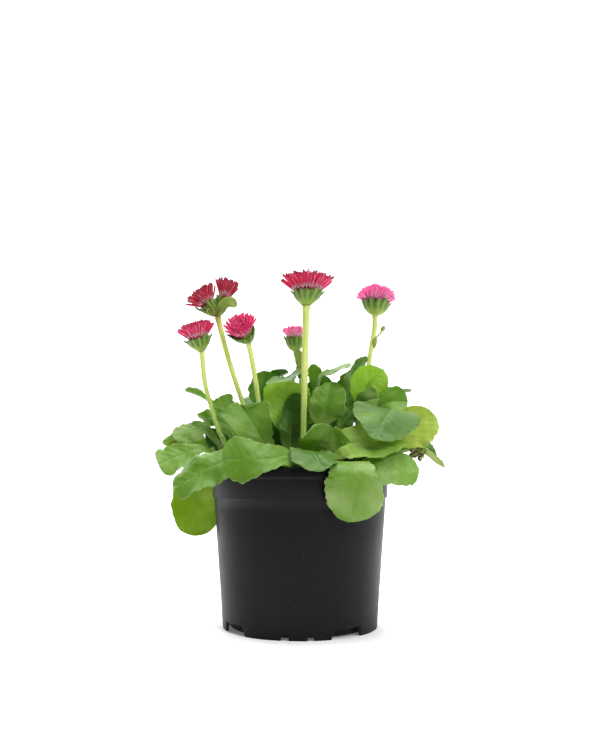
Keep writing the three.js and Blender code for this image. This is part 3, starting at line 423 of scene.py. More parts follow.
# %% Leaf shapes
SOIL_TOP = 96
ROOT_HEIGHT = 91
STEM_HALF_WIDTH, NECK_HALF_WIDTH = 1.5, 2.4
WIDEST_AT = 0.62
RING_NEAR, RING_FAR = 3, 9
WAVES, WAVE_OFFSET = 1.6, 1.9
TOOTH_SPACING, TOOTH_DEPTH = 4.4, 1.25
SWELLING, PUCKER_HEIGHT = 0.14, 0.85
PUCKER_LENGTHS = (26, 17, 11, 7.5)
RUFFLE_LENGTH, RUFFLE_HEIGHT = 9, 0.55
GROOVE_DEPTH, RIB_HALF_WIDTH = 0.45, 0.7
MARGIN_WOBBLE = 0.035
BLADE_THICKNESS, MARGIN_THICKNESS, MIDRIB_DEPTH = 0.5, 0.3, 0.7
ROUND_END = (2.3, 0.5)

# Places along the blade where an outline may be made wider or narrower than the plain one
OUTLINE_PLACES = [-0.25, 0, 0.15, 0.3, 0.5, 0.7, 0.85, 1]


def mirrored(half):
    """Places from -1 to 1 across a strip, from those of its right half."""
    half = np.array(half)
    return np.concatenate([-half[:0:-1], half])


COLUMNS = mirrored([0, 0.05, 0.12, 0.22, 0.33, 0.45, 0.57, 0.68, 0.78, 0.87, 0.94, 1.0])
FEW_COLUMNS = mirrored([0, 0.12, 0.33, 0.57, 0.78, 0.94, 1.0])


def compass(turn, tilt):
    """The direction that is turned from +X and tilted upwards by these degrees."""
    turn, tilt = math.radians(turn), math.radians(tilt)
    return np.array([math.cos(tilt) * math.cos(turn), math.cos(tilt) * math.sin(turn),
                     math.sin(tilt)])


def leaf_half_width(along, width, end):
    """Half the leaf's width from the foot of its stalk, -0.5, over its neck, 0, to its tip, 1."""
    stem = blend(NECK_HALF_WIDTH, STEM_HALF_WIDTH, np.clip(-3 * along, 0, 1))
    grown = np.sin(math.pi / 2 * np.clip(along / WIDEST_AT, 0, 1))
    past = np.clip((along - WIDEST_AT) / (1 - WIDEST_AT), 0, 1)
    rounded = width / 2 * (1 - past ** end[0]) ** end[1]
    blade = np.where(along < WIDEST_AT, blend(NECK_HALF_WIDTH, width / 2, grown), rounded)
    return np.where(along <= 0, stem, np.maximum(blade, 0.3))


def puckers(across, along, seed):
    """Low uneven swells of a leaf's surface, between about -1 and 1."""
    dice = np.random.default_rng(seed)
    total = np.zeros_like(across)
    for length in PUCKER_LENGTHS:
        turn, phase = dice.uniform(0, 2 * math.pi, 2)
        way = across * math.cos(turn) + along * math.sin(turn)
        total = total + length / PUCKER_LENGTHS[0] * np.sin(2 * math.pi * way / length + phase)
    return total / 1.5


def leaf_sheet(points, across, width, twist, cup, wave, seed, rows=46, outline=None,
               columns=COLUMNS):
    """A whole leaf on the curve through the foot of its stalk, its neck, middle and tip."""
    outline = outline or {}
    swollen = WIDEST_AT + (1 - WIDEST_AT) * np.sin(np.linspace(0, math.pi / 2, rows * 2 // 3))
    along = np.concatenate([np.linspace(-0.5, 0, 12, endpoint=False),
                            np.linspace(0, WIDEST_AT, rows, endpoint=False), swollen])
    centre, direction = smooth_curve(points, (1 + 2 * along) / 3)
    forward = unit(direction)
    side = unit(across - (forward @ across)[:, None] * forward)
    turn = (math.radians(twist) * (np.maximum(along, 0) - 0.5))[:, None]
    side = side * np.cos(turn) + np.cross(forward, side) * np.sin(turn)
    up = np.cross(side, forward)
    steps = np.linalg.norm(np.diff(centre, axis=0, prepend=centre[:1]), axis=1)
    length = np.cumsum(steps)
    length = (length - np.interp(0, along, length))[:, None]

    u = columns[None]
    phase = points[1][0] + np.where(u > 0, WAVE_OFFSET, 0)
    half = leaf_half_width(along, width, outline.get("end", ROUND_END))[:, None]
    given = [list(outline.get(half_name, outline.get("both", ()))) for half_name in ("minus", "plus")]
    minus, plus = (np.interp(along, OUTLINE_PLACES, [1, *f, *[1] * (7 - len(f))])[:, None]
                   for f in given)
    half = half * np.where(u > 0, plus, minus)
    opened = ease(along, 0, 0.35)[:, None]
    uneven = puckers(length * 0.9 + 20 * (u > 0), length * 0.9 + 9, seed + 1)
    half = half * (1 + MARGIN_WOBBLE * uneven * opened)
    beat = math.pi * (length + 1.1 * uneven) / TOOTH_SPACING + phase
    notch = TOOTH_DEPTH * (0.8 + 0.4 * uneven) * (1 - np.abs(np.sin(beat)) ** 0.6)
    notch = np.minimum(notch * opened, half * 0.25)
    offset = u * half - np.sign(u) * notch * np.abs(u) ** 8
    away = np.abs(offset)

    swell = SWELLING * np.cos(2 * math.pi * (length - VEIN_SLOPE * away + uneven) / VEIN_SPACING)
    swell = swell * (1 - np.abs(u) ** 4) * np.minimum(1, away / 2)
    groove = GROOVE_DEPTH * (1 - np.exp(-away / 1.2))
    bumps = PUCKER_HEIGHT * puckers(offset, length, seed) * np.minimum(1, away / 3)
    ruffle = np.sin(2 * math.pi * (length + 2 * uneven) / RUFFLE_LENGTH + 3 * phase)
    ruffle = RUFFLE_HEIGHT * (0.7 + 0.5 * uneven) * ruffle * u ** 4 * np.minimum(1, half / 6)
    ripple = np.sin(2 * math.pi * WAVES * along[:, None] + phase)
    bend = cup * half * np.abs(u) ** 1.6 + wave * ripple * u ** 2
    bend = bend + outline.get("fold", 0) * half * np.maximum(u, 0) ** 1.4
    lift = opened * (bend + swell + bumps + groove + ruffle)
    dent = outline.get("dent", 0) * u ** 2 + outline.get("skew", 0) * u
    dent = dent + outline.get("scallop", 0) * np.sin(7 * u + 0.5) * np.abs(u)
    dent = dent * ease(along, 0.3, 0.9)[:, None]
    side, up, forward = (axes[:, None] for axes in (side, up, forward))
    middle = (centre[:, None] + side * offset[..., None] + up * lift[..., None]
              + forward * dent[..., None])

    thin = blend(BLADE_THICKNESS, MARGIN_THICKNESS, u ** 4) / 2
    rib = np.exp(-(offset / RIB_HALF_WIDTH) ** 2) * blend(1, 0.3, np.clip(along, 0, 1)[:, None])
    above = blend(0.3 + 0.5 * u ** 2, thin - 0.2 * rib, opened)
    beneath = blend(0.3 + 0.8 * np.sqrt(1 - u ** 2), thin + MIDRIB_DEPTH * rib, opened)
    values = {"across_mm": offset, "along_mm": length, "edge": np.abs(u) * opened}
    return sheet(middle + up * above[..., None], middle - up * beneath[..., None], values)


print("points across a leaf:", len(COLUMNS), "or, for a small one,", len(FEW_COLUMNS))


# %% Where the leaves stand
CROWNS = {
    "left": [-36, -4], "front": [-14, -16], "heart": [6, -2], "back": [-4, 20],
    "fore": [20, -14], "right": [36, 4], "edge": [42, 20], "flank": [-34, 6],
    "wing": [-36, 14], "high": [-30, 18], "side": [-28, 28], "rear": [8, 38],
    "corner": [30, 28],
}
# Each leaf: name, crown, neck, middle, tip, width, [turn, tilt, twist] across, cup, wave, colour
LEAVES = [
    ["left_long", "left", [-61, -12, 115.5], [-77, -16, 111.5], [-90, -18, 106],
     24, [90, 50], 0, 1.5, "pale"],
    ["left_droop", "front", [-37, -38, 109], [-58, -46, 102.5], [-77, -44, 90.5],
     28, [90, 50], -0.1, 1, "leaf"],
    ["front_rim", "front", [-3, -45, 110.4], [-22, -60, 109], [-46, -58, 110],
     27, [90, 54, -70], -0.05, 1.5, "leaf"],
    ["front_small", "fore", [4, -40, 113.4], [8, -54, 112], [14, -65, 102.8],
     26, [180, 7], -0.1, 1.5, "grey"],
    ["front_drape", "fore", [27.5, -41, 107.6], [33.5, -61, 100], [29.5, -56, 72],
     37, [180, 0], -0.05, 1.2, "pale"],
    ["front_right", "fore", [43, -36.5, 108], [56, -42, 105], [73, -39, 102.5],
     28, [-90, -50], -0.1, 1, "pale"],
    ["front_broad", "fore", [20, -20, 115], [40, -33, 120], [66, -36, 118.5],
     31, [-90, -48], 0.05, 1.5, "sunlit"],
    ["right_grey", "right", [60, -12, 138], [53, -30, 134.5], [46, -46, 121],
     42, [180, 10], -0.1, 1, "grey"],
    ["right_outer", "fore", [62, -12, 119], [71, -11, 127], [85, -8, 141],
     29, [-90, -75], 0.1, 1, "painted_lit"],
    ["right_curl", "right", [42, 6, 140], [44, 1, 158], [54, -5, 168.5], 25, [0, 0], 0.2, 1, "sunlit"],
    ["right_disc", "right", [38, -1, 142], [44, -7.5, 147.5], [51, -12, 148.5],
     17, [-90, -75], 0.1, 0.5, "pale"],
    ["right_cup", "edge", [50, 5, 137], [58, 1, 146.5], [71, -1, 147.4],
     21, [-90, -60], 0.3, 0.5, "leaf"],
    ["right_edge", "edge", [55.5, 20, 153], [66, 20, 155], [76, 24, 156.5],
     14, [-90, 0], 0.1, 0.5, "dark"],
    ["middle_upright", "fore", [14, -16, 129], [17, -16, 145], [20, -12, 159],
     24, [0, 0], 0.05, 1, "leaf"],
    ["middle_strip", "fore", [11.5, -8, 156], [22, -6, 166], [33.5, -2, 172],
     12, [-90, -20], 0.1, 0.5, "leaf"],
    ["right_tip", "right", [31, 12, 156], [37, 12, 168], [45, 10, 178.5],
     11, [-60, -45], 0.1, 0.5, "grey"],
    ["right_dark", "rear", [31, 18, 141.5], [31, 18, 155], [34, 18, 169],
     15, [20, 0], 0.1, 0.5, "dark"],
    ["back_diamond", "back", [12.5, 24, 146], [13, 24, 162], [8, 17, 174],
     12, [0, -10], 0.1, 0.5, "leaf"],
    ["back_dark", "rear", [7, 30, 143], [11, 29, 155], [20, 27, 166], 18, [0, -30], 0.1, 0.5, "dark"],
    ["back_grey", "back", [3.5, 14, 162.5], [-8, 8, 163], [-22, 2, 158.5],
     18, [90, 25], 0, 0.8, "grey"],
    ["middle_bright", "back", [-7, 2, 124], [-8.5, 2, 146], [-8, -4, 161],
     31, [0, 0], 0.2, 0.8, "sunlit"],
    ["middle_dark", "front", [-7, -6, 115], [-5.5, -5, 134], [-2, -4, 153],
     19, [0, 0], 0.1, 0.5, "dark"],
    ["front_fold", "front", [-18, -25, 108.5], [-27, -28, 127], [-38, -24, 144],
     31, [20, 22], 0.15, 1, "leaf"],
    ["back_left", "side", [-24, 17, 138], [-25, 16, 154.5], [-19.5, 14, 168.5],
     22, [10, 10], 0.1, 0.5, "grey"],
    ["back_roll", "back", [-24, 25, 157.5], [-17, 23, 165.5], [-8.5, 20, 170],
     14, [-90, 20], 0.1, 0.5, "dark"],
    ["left_upright", "wing", [-44, 8, 128], [-48.5, 6, 140], [-54, 6, 150],
     20, [0, 25], 0.15, 0.5, "leaf"],
    ["left_high", "high", [-57, 13, 143], [-67, 10, 152.5], [-77, 7, 156],
     8, [90, 45], 0.1, 0.3, "leaf"],
    ["left_notch", "flank", [-44.5, 1.5, 127], [-55, 0.5, 135], [-68, -0.5, 139],
     13, [90, 60], 0.1, 0.4, "leaf"],
    ["left_light", "left", [-60, 3, 128], [-71, 1, 128.5], [-84, -2, 124.5],
     18, [90, 50], -0.2, 0.6, "pale"],
    ["left_curl", "wing", [-60, 12, 118], [-78, 5, 123.5], [-91, 2, 120],
     12, [90, 45], -0.1, 0.5, "bright"],
    ["left_dark", "flank", [-48, 6.6, 116], [-55, 8, 123], [-63, 7.6, 128],
     13, [60, 45], 0.1, 0.4, "dark"],
    ["left_hanging", "wing", [-53, 26, 111], [-71, 25, 94], [-72.5, 22, 57],
     34, [140, 0, -70], -0.1, 1, "bright"],
    ["front_wavy", "heart", [8, -28, 114], [13, -34, 121], [19, -38, 128],
     30, [0, 12], 0.35, 2.5, "leaf"],
    ["fore_small", "fore", [26, -12, 128], [30, -12, 135], [34.5, -10, 142.5],
     12, [0, -40], 0.1, 0.3, "dark"],
    ["right_low", "edge", [54, 14, 110], [76, 10, 120], [91.5, 8, 112],
     9, [-90, -60], 0.1, 0.2, "dark"],
    ["right_withered", "right", [58, 6, 110.5], [80, 4, 115.5], [96.3, 5, 104],
     7, [-90, -50], 0.1, 0.2, "withered"],
    ["rear_right", "corner", [46, 34, 113], [61, 47, 111], [70, 57, 103],
     30, [-45, 0], -0.1, 1, "grey"],
    ["rear_high_left", "side", [-24, 34, 134], [-28, 42, 148], [-34, 50, 156],
     26, [20, 0], 0.1, 1, "grey"],
    ["side_high", "side", [-44, 22, 126], [-51, 28, 136], [-59, 36, 141], 22, [50, 0], 0.1, 1, "leaf"],
    ["rear_side", "edge", [50, 28, 130], [57, 35, 140], [65, 42, 146], 24, [-45, 0], 0.1, 1, "grey"],
]
SCRAP_COUNT, SCRAP_PLACE, SCRAP_SEED = 9, (76, 3.5, 114.5), 41


def stem_start(crown, neck):
    """Where a leaf's stalk comes out of the peat: on a ring round its crown, on the neck's side."""
    out = np.array([neck[0] - crown[0], neck[1] - crown[1]], float)
    reach = np.hypot(*out)
    lean = reach / math.hypot(reach, neck[2] - SOIL_TOP)
    x, y = crown + out / reach * blend(RING_NEAR, RING_FAR, lean)
    return [x, y, SOIL_TOP + 1]


def dead_scraps():
    """Shrivelled brown bits of old leaf that cling together."""
    dice = np.random.default_rng(SCRAP_SEED)
    shapes = []
    for k in range(SCRAP_COUNT):
        start = np.array(SCRAP_PLACE) + dice.normal(0, 1, 3) * (1.6, 0.7, 1.6)
        way = unit(dice.normal((0.5, 0, -0.3), (0.8, 0.25, 0.7)))
        line = [start + 2.2 * step * way + dice.normal(0, 0.5, 3) for step in range(4)]
        scrap = leaf_sheet(line, unit(dice.normal(size=3)), dice.uniform(1.6, 3.6), 120, 0.6, 0.8,
                           k, rows=12, columns=FEW_COLUMNS)
        scrap["material"] = 1
        shapes.append(scrap)
    return shapes


def with_root(shape):
    """The same sheet, its first row sunk straight down into the peat."""
    for start in (0, len(shape["points"]) // 2):
        shape["points"][start:start + len(COLUMNS), 2] = ROOT_HEIGHT
    return shape


# The outlines that the photograph shows, against the plain one: how much wider or narrower the
# blade is on its minus side, its plus side or both (1 where a list stops), how its end is rounded
# (power of the place, power of the width), and how far its edge is folded up or its end set back
OUTLINES = {
    "left_light": dict(minus=[1.9, 1.8, 1.5, 1.15]),
    "right_cup": dict(plus=[1.3, 1.3, 1.3, 1.25, 1.2, 1.1]),
    "right_dark": dict(both=[3, 2.4, 1.7, 1.2]),
    "left_dark": dict(minus=[1.5, 1.9, 2, 1.9, 1.7, 1.4, 1.2], plus=[1, 1.2, 1.2, 1.1]),
    "left_hanging": dict(minus=[1, 1, 1, 1, 1.15, 1.35, 1.4], fold=0.2),
    "right_withered": dict(both=[0.5, 0.4, 0.5, 0.9]),
    "front_fold": dict(minus=[1, 1, 0.95, 0.9, 1, 1.05, 1.05], plus=[0.9, 0.7, 0.55, 0.6, 0.8, 1, 1.1],
                       end=(7, 0.5), dent=-1.5, skew=-4, fold=0.3),
    "right_grey": dict(minus=[1.4, 1.9, 1.25, 0.95, 0.8, 0.7, 0.7],
                       plus=[1.4, 2.4, 1.5, 1.02, 0.75, 0.58, 0.5]),
    "front_wavy": dict(minus=[1.5, 1.6, 1.3, 1.05, 1, 0.85, 0.7], plus=[1, 0.75, 0.6, 0.7, 0.9],
                       end=(5, 0.5), dent=1.5, skew=1, scallop=1.6),
    "left_long": dict(minus=[0.8, 0.9], plus=[0.7, 0.75, 0.85, 0.95], end=(6, 0.45), dent=0.4),
    "left_notch": dict(end=(1.4, 0.8)),
    "left_upright": dict(minus=[0.6, 0.5, 0.5, 0.55, 0.6, 0.7, 0.8], plus=[1, 1, 0.9, 0.75, 0.8, 0.9],
                         end=(5, 0.5), dent=1),
    "middle_upright": dict(minus=[1, 1.4, 1.2, 0.95, 0.85, 0.8, 0.7], plus=[1, 1.3, 1.25, 1.05],
                           fold=0.25),
    "middle_bright": dict(minus=[1, 1.2, 1.1, 1, 1, 1.05, 1.1], plus=[1, 1.2, 1.1, 1, 0.95],
                          end=(6, 0.5), dent=-0.5),
    "middle_dark": dict(minus=[1.3, 1.2, 1, 0.8, 0.8, 0.8, 0.8],
                        plus=[2.4, 2.2, 1.6, 1.2, 1.1, 1, 0.9]),
    "front_broad": dict(minus=[1.5, 1.5, 1.3, 1.1, 1, 0.9, 0.8], plus=[1.5, 1.4, 1.2, 1, 0.9, 0.8, 0.7],
                        end=(1.8, 0.7)),
    "front_right": dict(minus=[1.8, 1.6, 1.3, 1.05], plus=[2, 1.8, 1.4, 1.05]),
    "front_drape": dict(minus=[4, 1.3, 0.85, 0.6, 0.95, 1.1, 1.05], plus=[3.6, 1.4, 1.1, 0.98]),
    "front_rim": dict(minus=[1.6, 1, 0.7, 0.8, 1.05, 1.05], plus=[1.6, 1.5, 1.1, 1, 1, 1.05, 1.1],
                      end=(4, 0.5)),
    "front_small": dict(minus=[1.3, 1.2, 1.1, 1.05, 1, 0.95, 0.9],
                        plus=[1.6, 1.6, 1.3, 1.15, 1.05, 0.95, 0.9], end=(3, 0.5)),
    "left_droop": dict(minus=[1.3, 1.3, 1.15], plus=[1.3, 1.3, 1.2, 1.05, 1.05], end=(4, 0.5)),
    "right_outer": dict(minus=[1, 1, 1, 1, 1, 0.9, 0.8], plus=[1, 1.2, 1.15, 1.05, 1, 1.05, 1.1]),
    "right_low": dict(both=[1, 1, 1, 1.2, 1.5, 1.5, 1.2], end=(1.6, 0.8)),
}

for i, (name, crown, neck, middle, tip, width, turns, cup, wave, colour) in enumerate(LEAVES):
    points = [stem_start(np.array(CROWNS[crown]), neck), neck, middle, tip]
    twist = turns[2] if len(turns) > 2 else 0
    shapes = [with_root(leaf_sheet(points, compass(*turns[:2]), width, twist, cup, wave, 10 * i,
                                   outline=OUTLINES.get(name)))]
    if name == "right_withered":
        shapes += dead_scraps()
    piece(name + "_leaf", "leaf_" + name, shapes,
          [LEAF_KINDS[colour], LEAF_KINDS["dead"]])
print("leaves:", len(LEAVES))

# %% [markdown]
# ## Clumps of leaves
# At the back and in the shade between the stalks, several leaves come from one crown. They
# are drawn by the same function, and the crown itself is a low knob of old leaf bases.

# %% Clumps
CLUMPS = [
    dict(name="rear", crown=[8, 42], colour="leaf", leaves=[
        [[4, 50, 108], [6, 62, 106], [8, 74, 95], 32, [0, 0], -0.1, 1.2],
        [[-18, 48, 112], [-30, 58, 114], [-41, 66, 108], 30, [35, 0], -0.05, 1.2],
        [[26, 48, 114], [34, 58, 117], [42, 68, 111], 30, [-35, 0], -0.05, 1.2],
        [[14, 46, 134], [22, 50, 148], [27, 58, 157], 26, [-20, 0], 0.1, 1]]),
    dict(name="core", crown=[14, 6], colour="dark", leaves=[
        [[17, 1, 108], [21, -3, 124], [24, -3, 140], 18, [10, 10], 0.1, 0.6],
        [[20, 8, 106], [26.5, 7, 114], [31.5, 6, 121], 16, [0, -37], 0.1, 0.5],
        [[16, 10, 108], [19, 13, 130], [17, 14, 147], 18, [-10, 5], 0.1, 0.6],
        [[9, 5, 106], [8, 3, 118], [8, 4, 133], 15, [0, -5], 0.1, 0.5]]),
    dict(name="inner", crown=[-21, 11], colour="dark", leaves=[
        [[-21, 8, 108], [-20, 5.5, 122], [-19, 4.5, 138], 17, [0, 8], 0.1, 0.5],
        [[-29, 14, 108], [-34.5, 17.5, 120], [-36, 20, 133], 15, [20, 0], 0.1, 0.5]]),
    dict(name="side", crown=[-36, 33], colour="leaf", leaves=[
        [[-47, 35.5, 113.2], [-60, 45, 112], [-71, 52, 103], 28, [45, 0], -0.1, 1],
        [[-42, 31, 110], [-50, 31, 121], [-57, 32, 130], 18, [0, 40], 0.1, 0.5],
        [[-31, 36, 108], [-24, 38, 121], [-20, 41, 134], 18, [15, -20], 0.1, 0.6]]),
]
CLUMP_RADIUS = 4.5
CLUMP_RISE = 98.3
# Young leaves in the hearts of the crowns: x, y, height of the tallest one
HEARTS = {
    "core": [[2, 6, 136], [12, -4, 128], [30, -2, 134], [27, 3, 126], [36, -8, 124],
             [22, -14, 116], [40, 0, 132], [35, 4, 146], [33, 9, 148]],
    "inner": [[-12, 3, 132], [-6, 8, 128], [-28, 4, 128], [-4, -8, 118], [-32, 0, 122],
              [-24, -14, 112]],
    "side": [[-50, -3, 122], [-46, -10, 114], [-42, 8, 124], [-38, 14, 130], [-44, -2, 112],
             [-47, 6, 126]],
    "rear": [[0, 36, 132], [18, 30, 138], [34, 24, 130], [42, 12, 122], [37, 15, 146]],
}
HEART_LEAVES = 4
HEART_SEED, CLUMP_SEED = 3000, 1000
# The stump of a crown, from its root to its top
STUMP_HEIGHTS, STUMP_RADII = [ROOT_HEIGHT, 94, 96.5, 98, 99.2, 99.6], [3.6, 4.4, 4.3, 3.5, 2, 0.4]


def young_leaves(x, y, height, seed):
    """A few small upright leaves that open from one point of the peat."""
    dice = np.random.default_rng(seed)
    shapes = []
    for k in range(HEART_LEAVES):
        turn = 360 / HEART_LEAVES * k + dice.uniform(-30, 30)
        out = compass(turn, 0)
        start = np.array([x, y, SOIL_TOP - 1]) + out
        rise = (height - SOIL_TOP) * dice.uniform(0.6, 1)
        neck, middle, tip = (start + out * rise * part + [0, 0, rise * up]
                             for part, up in ((0.06, 0.4), (0.14, 0.7), (0.26, 1)))
        shapes.append(leaf_sheet([start, neck, middle, tip], compass(turn + 90, dice.uniform(-15, 15)),
                                 dice.uniform(9, 13), 0, 0.2, 0.5, seed + k, rows=16,
                                 columns=FEW_COLUMNS))
    return shapes


hearts = [(owner, spot) for owner, spots in HEARTS.items() for spot in spots]
for clump in CLUMPS:
    crown = np.array(clump["crown"], float)
    shapes = []
    for neck, middle, tip, width, across, cup, wave in clump["leaves"]:
        out = unit(np.array(neck[:2]) - crown) * (CLUMP_RADIUS - 2)
        start = [*(crown + out), CLUMP_RISE - 1]
        shapes.append(with_root(leaf_sheet([start, neck, middle, tip], compass(*across), width, 0, cup,
                                           wave, int(neck[0] * 7 + CLUMP_SEED))))
    for i, (owner, spot) in enumerate(hearts):
        if owner == clump["name"]:
            shapes += young_leaves(*spot, HEART_SEED + 10 * i)
    centres = np.array([[*crown, height] for height in STUMP_HEIGHTS])
    shapes.append(tube(centres, np.array(STUMP_RADII), 20, {"edge": 0.0, "along_mm": -8.0},
                       ridges=7, depth=0.12))
    piece(clump["name"] + "_leaves", "leaves_" + clump["name"],
          shapes, [LEAF_KINDS[clump["colour"]]])
print("clumps:", len(CLUMPS))

# %% [markdown]
# ## Stalks and cups
# A daisy's flower stalk is a bare, juicy scape with short hairs, yellow-green because it grew
# in its own shade. It widens into a green cup of bracts that overlap like tiles and hold the
# florets. The cup could be one turned form, but its ridges and points show against the white,
# so each bract is a small ridged sheet of its own on a turned core.

# %% Stalk materials
JUICE_IOR = 1.4
STRAND_SCALE = (1500, 1500, 60)


def stem_material(name, low, high, stripe_and_highlight, roughness):
    """Juicy green stem tissue: darker at its foot, striped along its length, slightly clear."""
    material, tree, surface = empty_material(name)
    place = add(tree, "TexCoord", output="Object")
    along, ridge = (add(tree, "Attribute", {"attribute_name": value}, output="Fac")
                    for value in ("share", "ridge"))
    rise = add(tree, "Mix", RGBA, {0: along, 6: linear(low), 7: linear(high)}, 2)
    stretched = add(tree, "Mapping", None, {"Vector": place, "Scale": STRAND_SCALE})
    strands = add(tree, "TexNoise", None, {"Vector": stretched, "Scale": 1.0})
    stripes = add(tree, "MapRange", None, [strands, 0.4, 0.7, 0.0, 0.55])
    # Stripes are streaks in the tissue; bract ridges get their colour as a painted highlight
    streaks_and_highlight = add(tree, "Math", MAXIMUM, [stripes, ridge])
    colour = add(tree, "Mix", RGBA, {0: streaks_and_highlight, 6: rise, 7: linear(stripe_and_highlight)}, 2)
    relief = add(tree, "Bump", None, {"Strength": 0.3, "Distance": 0.0003, "Height": strands})
    tree.links.new(add(tree, "BsdfPrincipled", None, {
        "Base Color": colour, "Roughness": roughness, "IOR": JUICE_IOR, "Normal": relief,
        "Subsurface Weight": 0.15, "Subsurface Radius": (0.002, 0.003, 0.0008),
        "Subsurface Scale": 0.5}), surface)
    return material


SCAPE = stem_material("daisy scape", "#78a628", "#dbe97c", "#eef6a4", 0.45)
BRACT = stem_material("daisy bract", "#aebe50", "#40641a", "#8cac4c", 0.55)
HAIR = stem_material("daisy stem hair", "#dfe8b8", "#eef3d6", "#f4f7e4", 0.6)
print("stalk materials:", SCAPE.name, BRACT.name, HAIR.name)

# %% Where the flower stalks stand
STALKS = [
    dict(name="main", radius=2.1, path=[[2, -16, 97], [2.2, -16, 126], [3, -15, 165], [4, -14, 208.5]],
         heads=[dict(name="main", rim=[4.8, -14, 217], facing=[0.02, 0, 1], radius=10.6, count=230,
                     length=15.6, spread=53, middle=0.62, quill=0.64, colour="crimson")]),
    dict(name="right", radius=1.65,
         path=[[36, 20, 97], [43, 15, 150], [46.6, 14, 174], [48.2, 14, 185], [50.2, 14, 196],
               [50.8, 14, 207.2]],
         threads=[dict(radius=0.55, path=[[50, 14, 190], [52.4, 13.5, 192.5], [54.2, 13, 194.5],
                                          [55.8, 13, 197]])],
         swellings=[dict(middle=[50, 14, 188.5], radius=2.1, length=9, lean=8),
                    dict(middle=[56, 13, 197.6], radius=1.5, length=4, lean=30)],
         heads=[dict(name="right", rim=[51.2, 13, 215], facing=[0.1, 0.02, 1], radius=9.4, count=130,
                     length=8.4, spread=60, middle=1.45, quill=0.85, colour="pink", bowl=0.7)]),
    dict(name="small", radius=1.6,
         path=[[3, 30, 97], [1.5, 24, 140], [0.4, 21, 168], [-2, 20, 178], [-3.3, 20, 184]],
         bracts=[dict(points=[[0, 20.4, 165], [0, 19, 169], [-0.4, 18, 177], [-2, 18.4, 185]],
                      width=6, across=[0, 0], cup=-0.3)],
         heads=[dict(name="small", rim=[-3.6, 20, 193], facing=[-0.05, -0.1, 1], radius=6.8, count=70,
                     length=7.6, spread=44, middle=0.9, quill=0.7, colour="pink", bowl=0.8)]),
    dict(name="left", radius=1.5,
         path=[[-40, -12, 97], [-48, -8, 118], [-54, -6, 130.5], [-58, -6, 144], [-62, -6, 159],
               [-64, -6, 180]],
         heads=[dict(name="left", rim=[-66.3, -7, 188], facing=[-0.26, -0.1, 1], radius=8.6, count=160,
                     length=11.6, spread=42, middle=0.9, quill=0.62, colour="rose")]),
    dict(name="double", radius=1.75,
         path=[[-26, 2, 97], [-33, 4, 130], [-47.4, 3, 176], [-54.8, 1, 205]],
         bracts=[dict(points=[[-54.5, -1, 204.5], [-52, -6.5, 208.5], [-46.5, -8, 212],
                              [-41.2, -6.5, 209.4]], width=7.5, across=[0, -65], cup=-0.25)],
         threads=[dict(radius=0.5, path=[[-57, -2, 209], [-60, -5.4, 207.4], [-60.6, -6.6, 205.4],
                                         [-58.6, -6.8, 203.4]])],
         heads=[dict(name="double_left", rim=[-61.2, 0, 211.6], facing=[-0.65, -0.1, 1], radius=6.8,
                     count=115, length=12.4, spread=44, middle=0.85, quill=0.62, colour="wine"),
                dict(name="double_right", rim=[-49.6, 0, 215.6], facing=[0.26, 0, 1], radius=5.4,
                     count=90, length=12.8, spread=25, middle=0.95, quill=0.62, colour="wine")]),
    dict(name="middle", radius=1.65,
         path=[[-21, -4, 97], [-26.6, -4, 143.7], [-31, -4, 172], [-34, -4.5, 186.5]],
         heads=[dict(name="middle", rim=[-37.8, -10, 192], facing=[-0.3, -1, 1], radius=8.3, count=170,
                     length=9.8, spread=32, middle=0.85, quill=0.62, colour="fair", bowl=0.4,
                     hollow=0.25)]),
]
print("heads:", sum(len(stalk["heads"]) for stalk in STALKS))

# %% Cups and hairs
BRACT_ROWS, BRACT_COLUMNS = np.linspace(0, 1, 11), mirrored([0, 0.25, 0.6, 1])
BRACTS_PER_WHORL = 13
BRACT_THICKNESS = 0.45
HAIR_LENGTH, HAIR_RADIUS, HAIRS_PER_MM = 0.9, 0.05, 5
LEAFY_TOP = 100
# The rings of a cup's core, as shares of the way from the rim down to the stalk's end. No two
# may be in the same place, because a tube takes its direction from one ring to the next.
CORE_PLACES = np.array([1.12, 0.94, 0.8, 0.5, 0.25, 0.05, 0.049])
CORE_SIDES = 26
GROWTH_SEED = 7
rng = np.random.default_rng(GROWTH_SEED)


def head_frame(head):
    """The head's own axes, as columns, with its z axis along the way that it faces."""
    z = unit(np.array(head["facing"], float))
    turn = np.cross([0, 0, 1], z)
    cosine = z[2]
    cross = np.array([[0, -turn[2], turn[1]], [turn[2], 0, -turn[0]], [-turn[1], turn[0], 0]])
    return np.eye(3) + cross + cross @ cross / (1 + cosine)


def to_head(head, points):
    """Points of the plant as the head's own frame sees them."""
    return (np.asarray(points, float) - head["rim"]) @ head_frame(head)


def from_head(head, points):
    """Points of the head's own frame in the plant's frame."""
    return points @ head_frame(head).T + head["rim"]


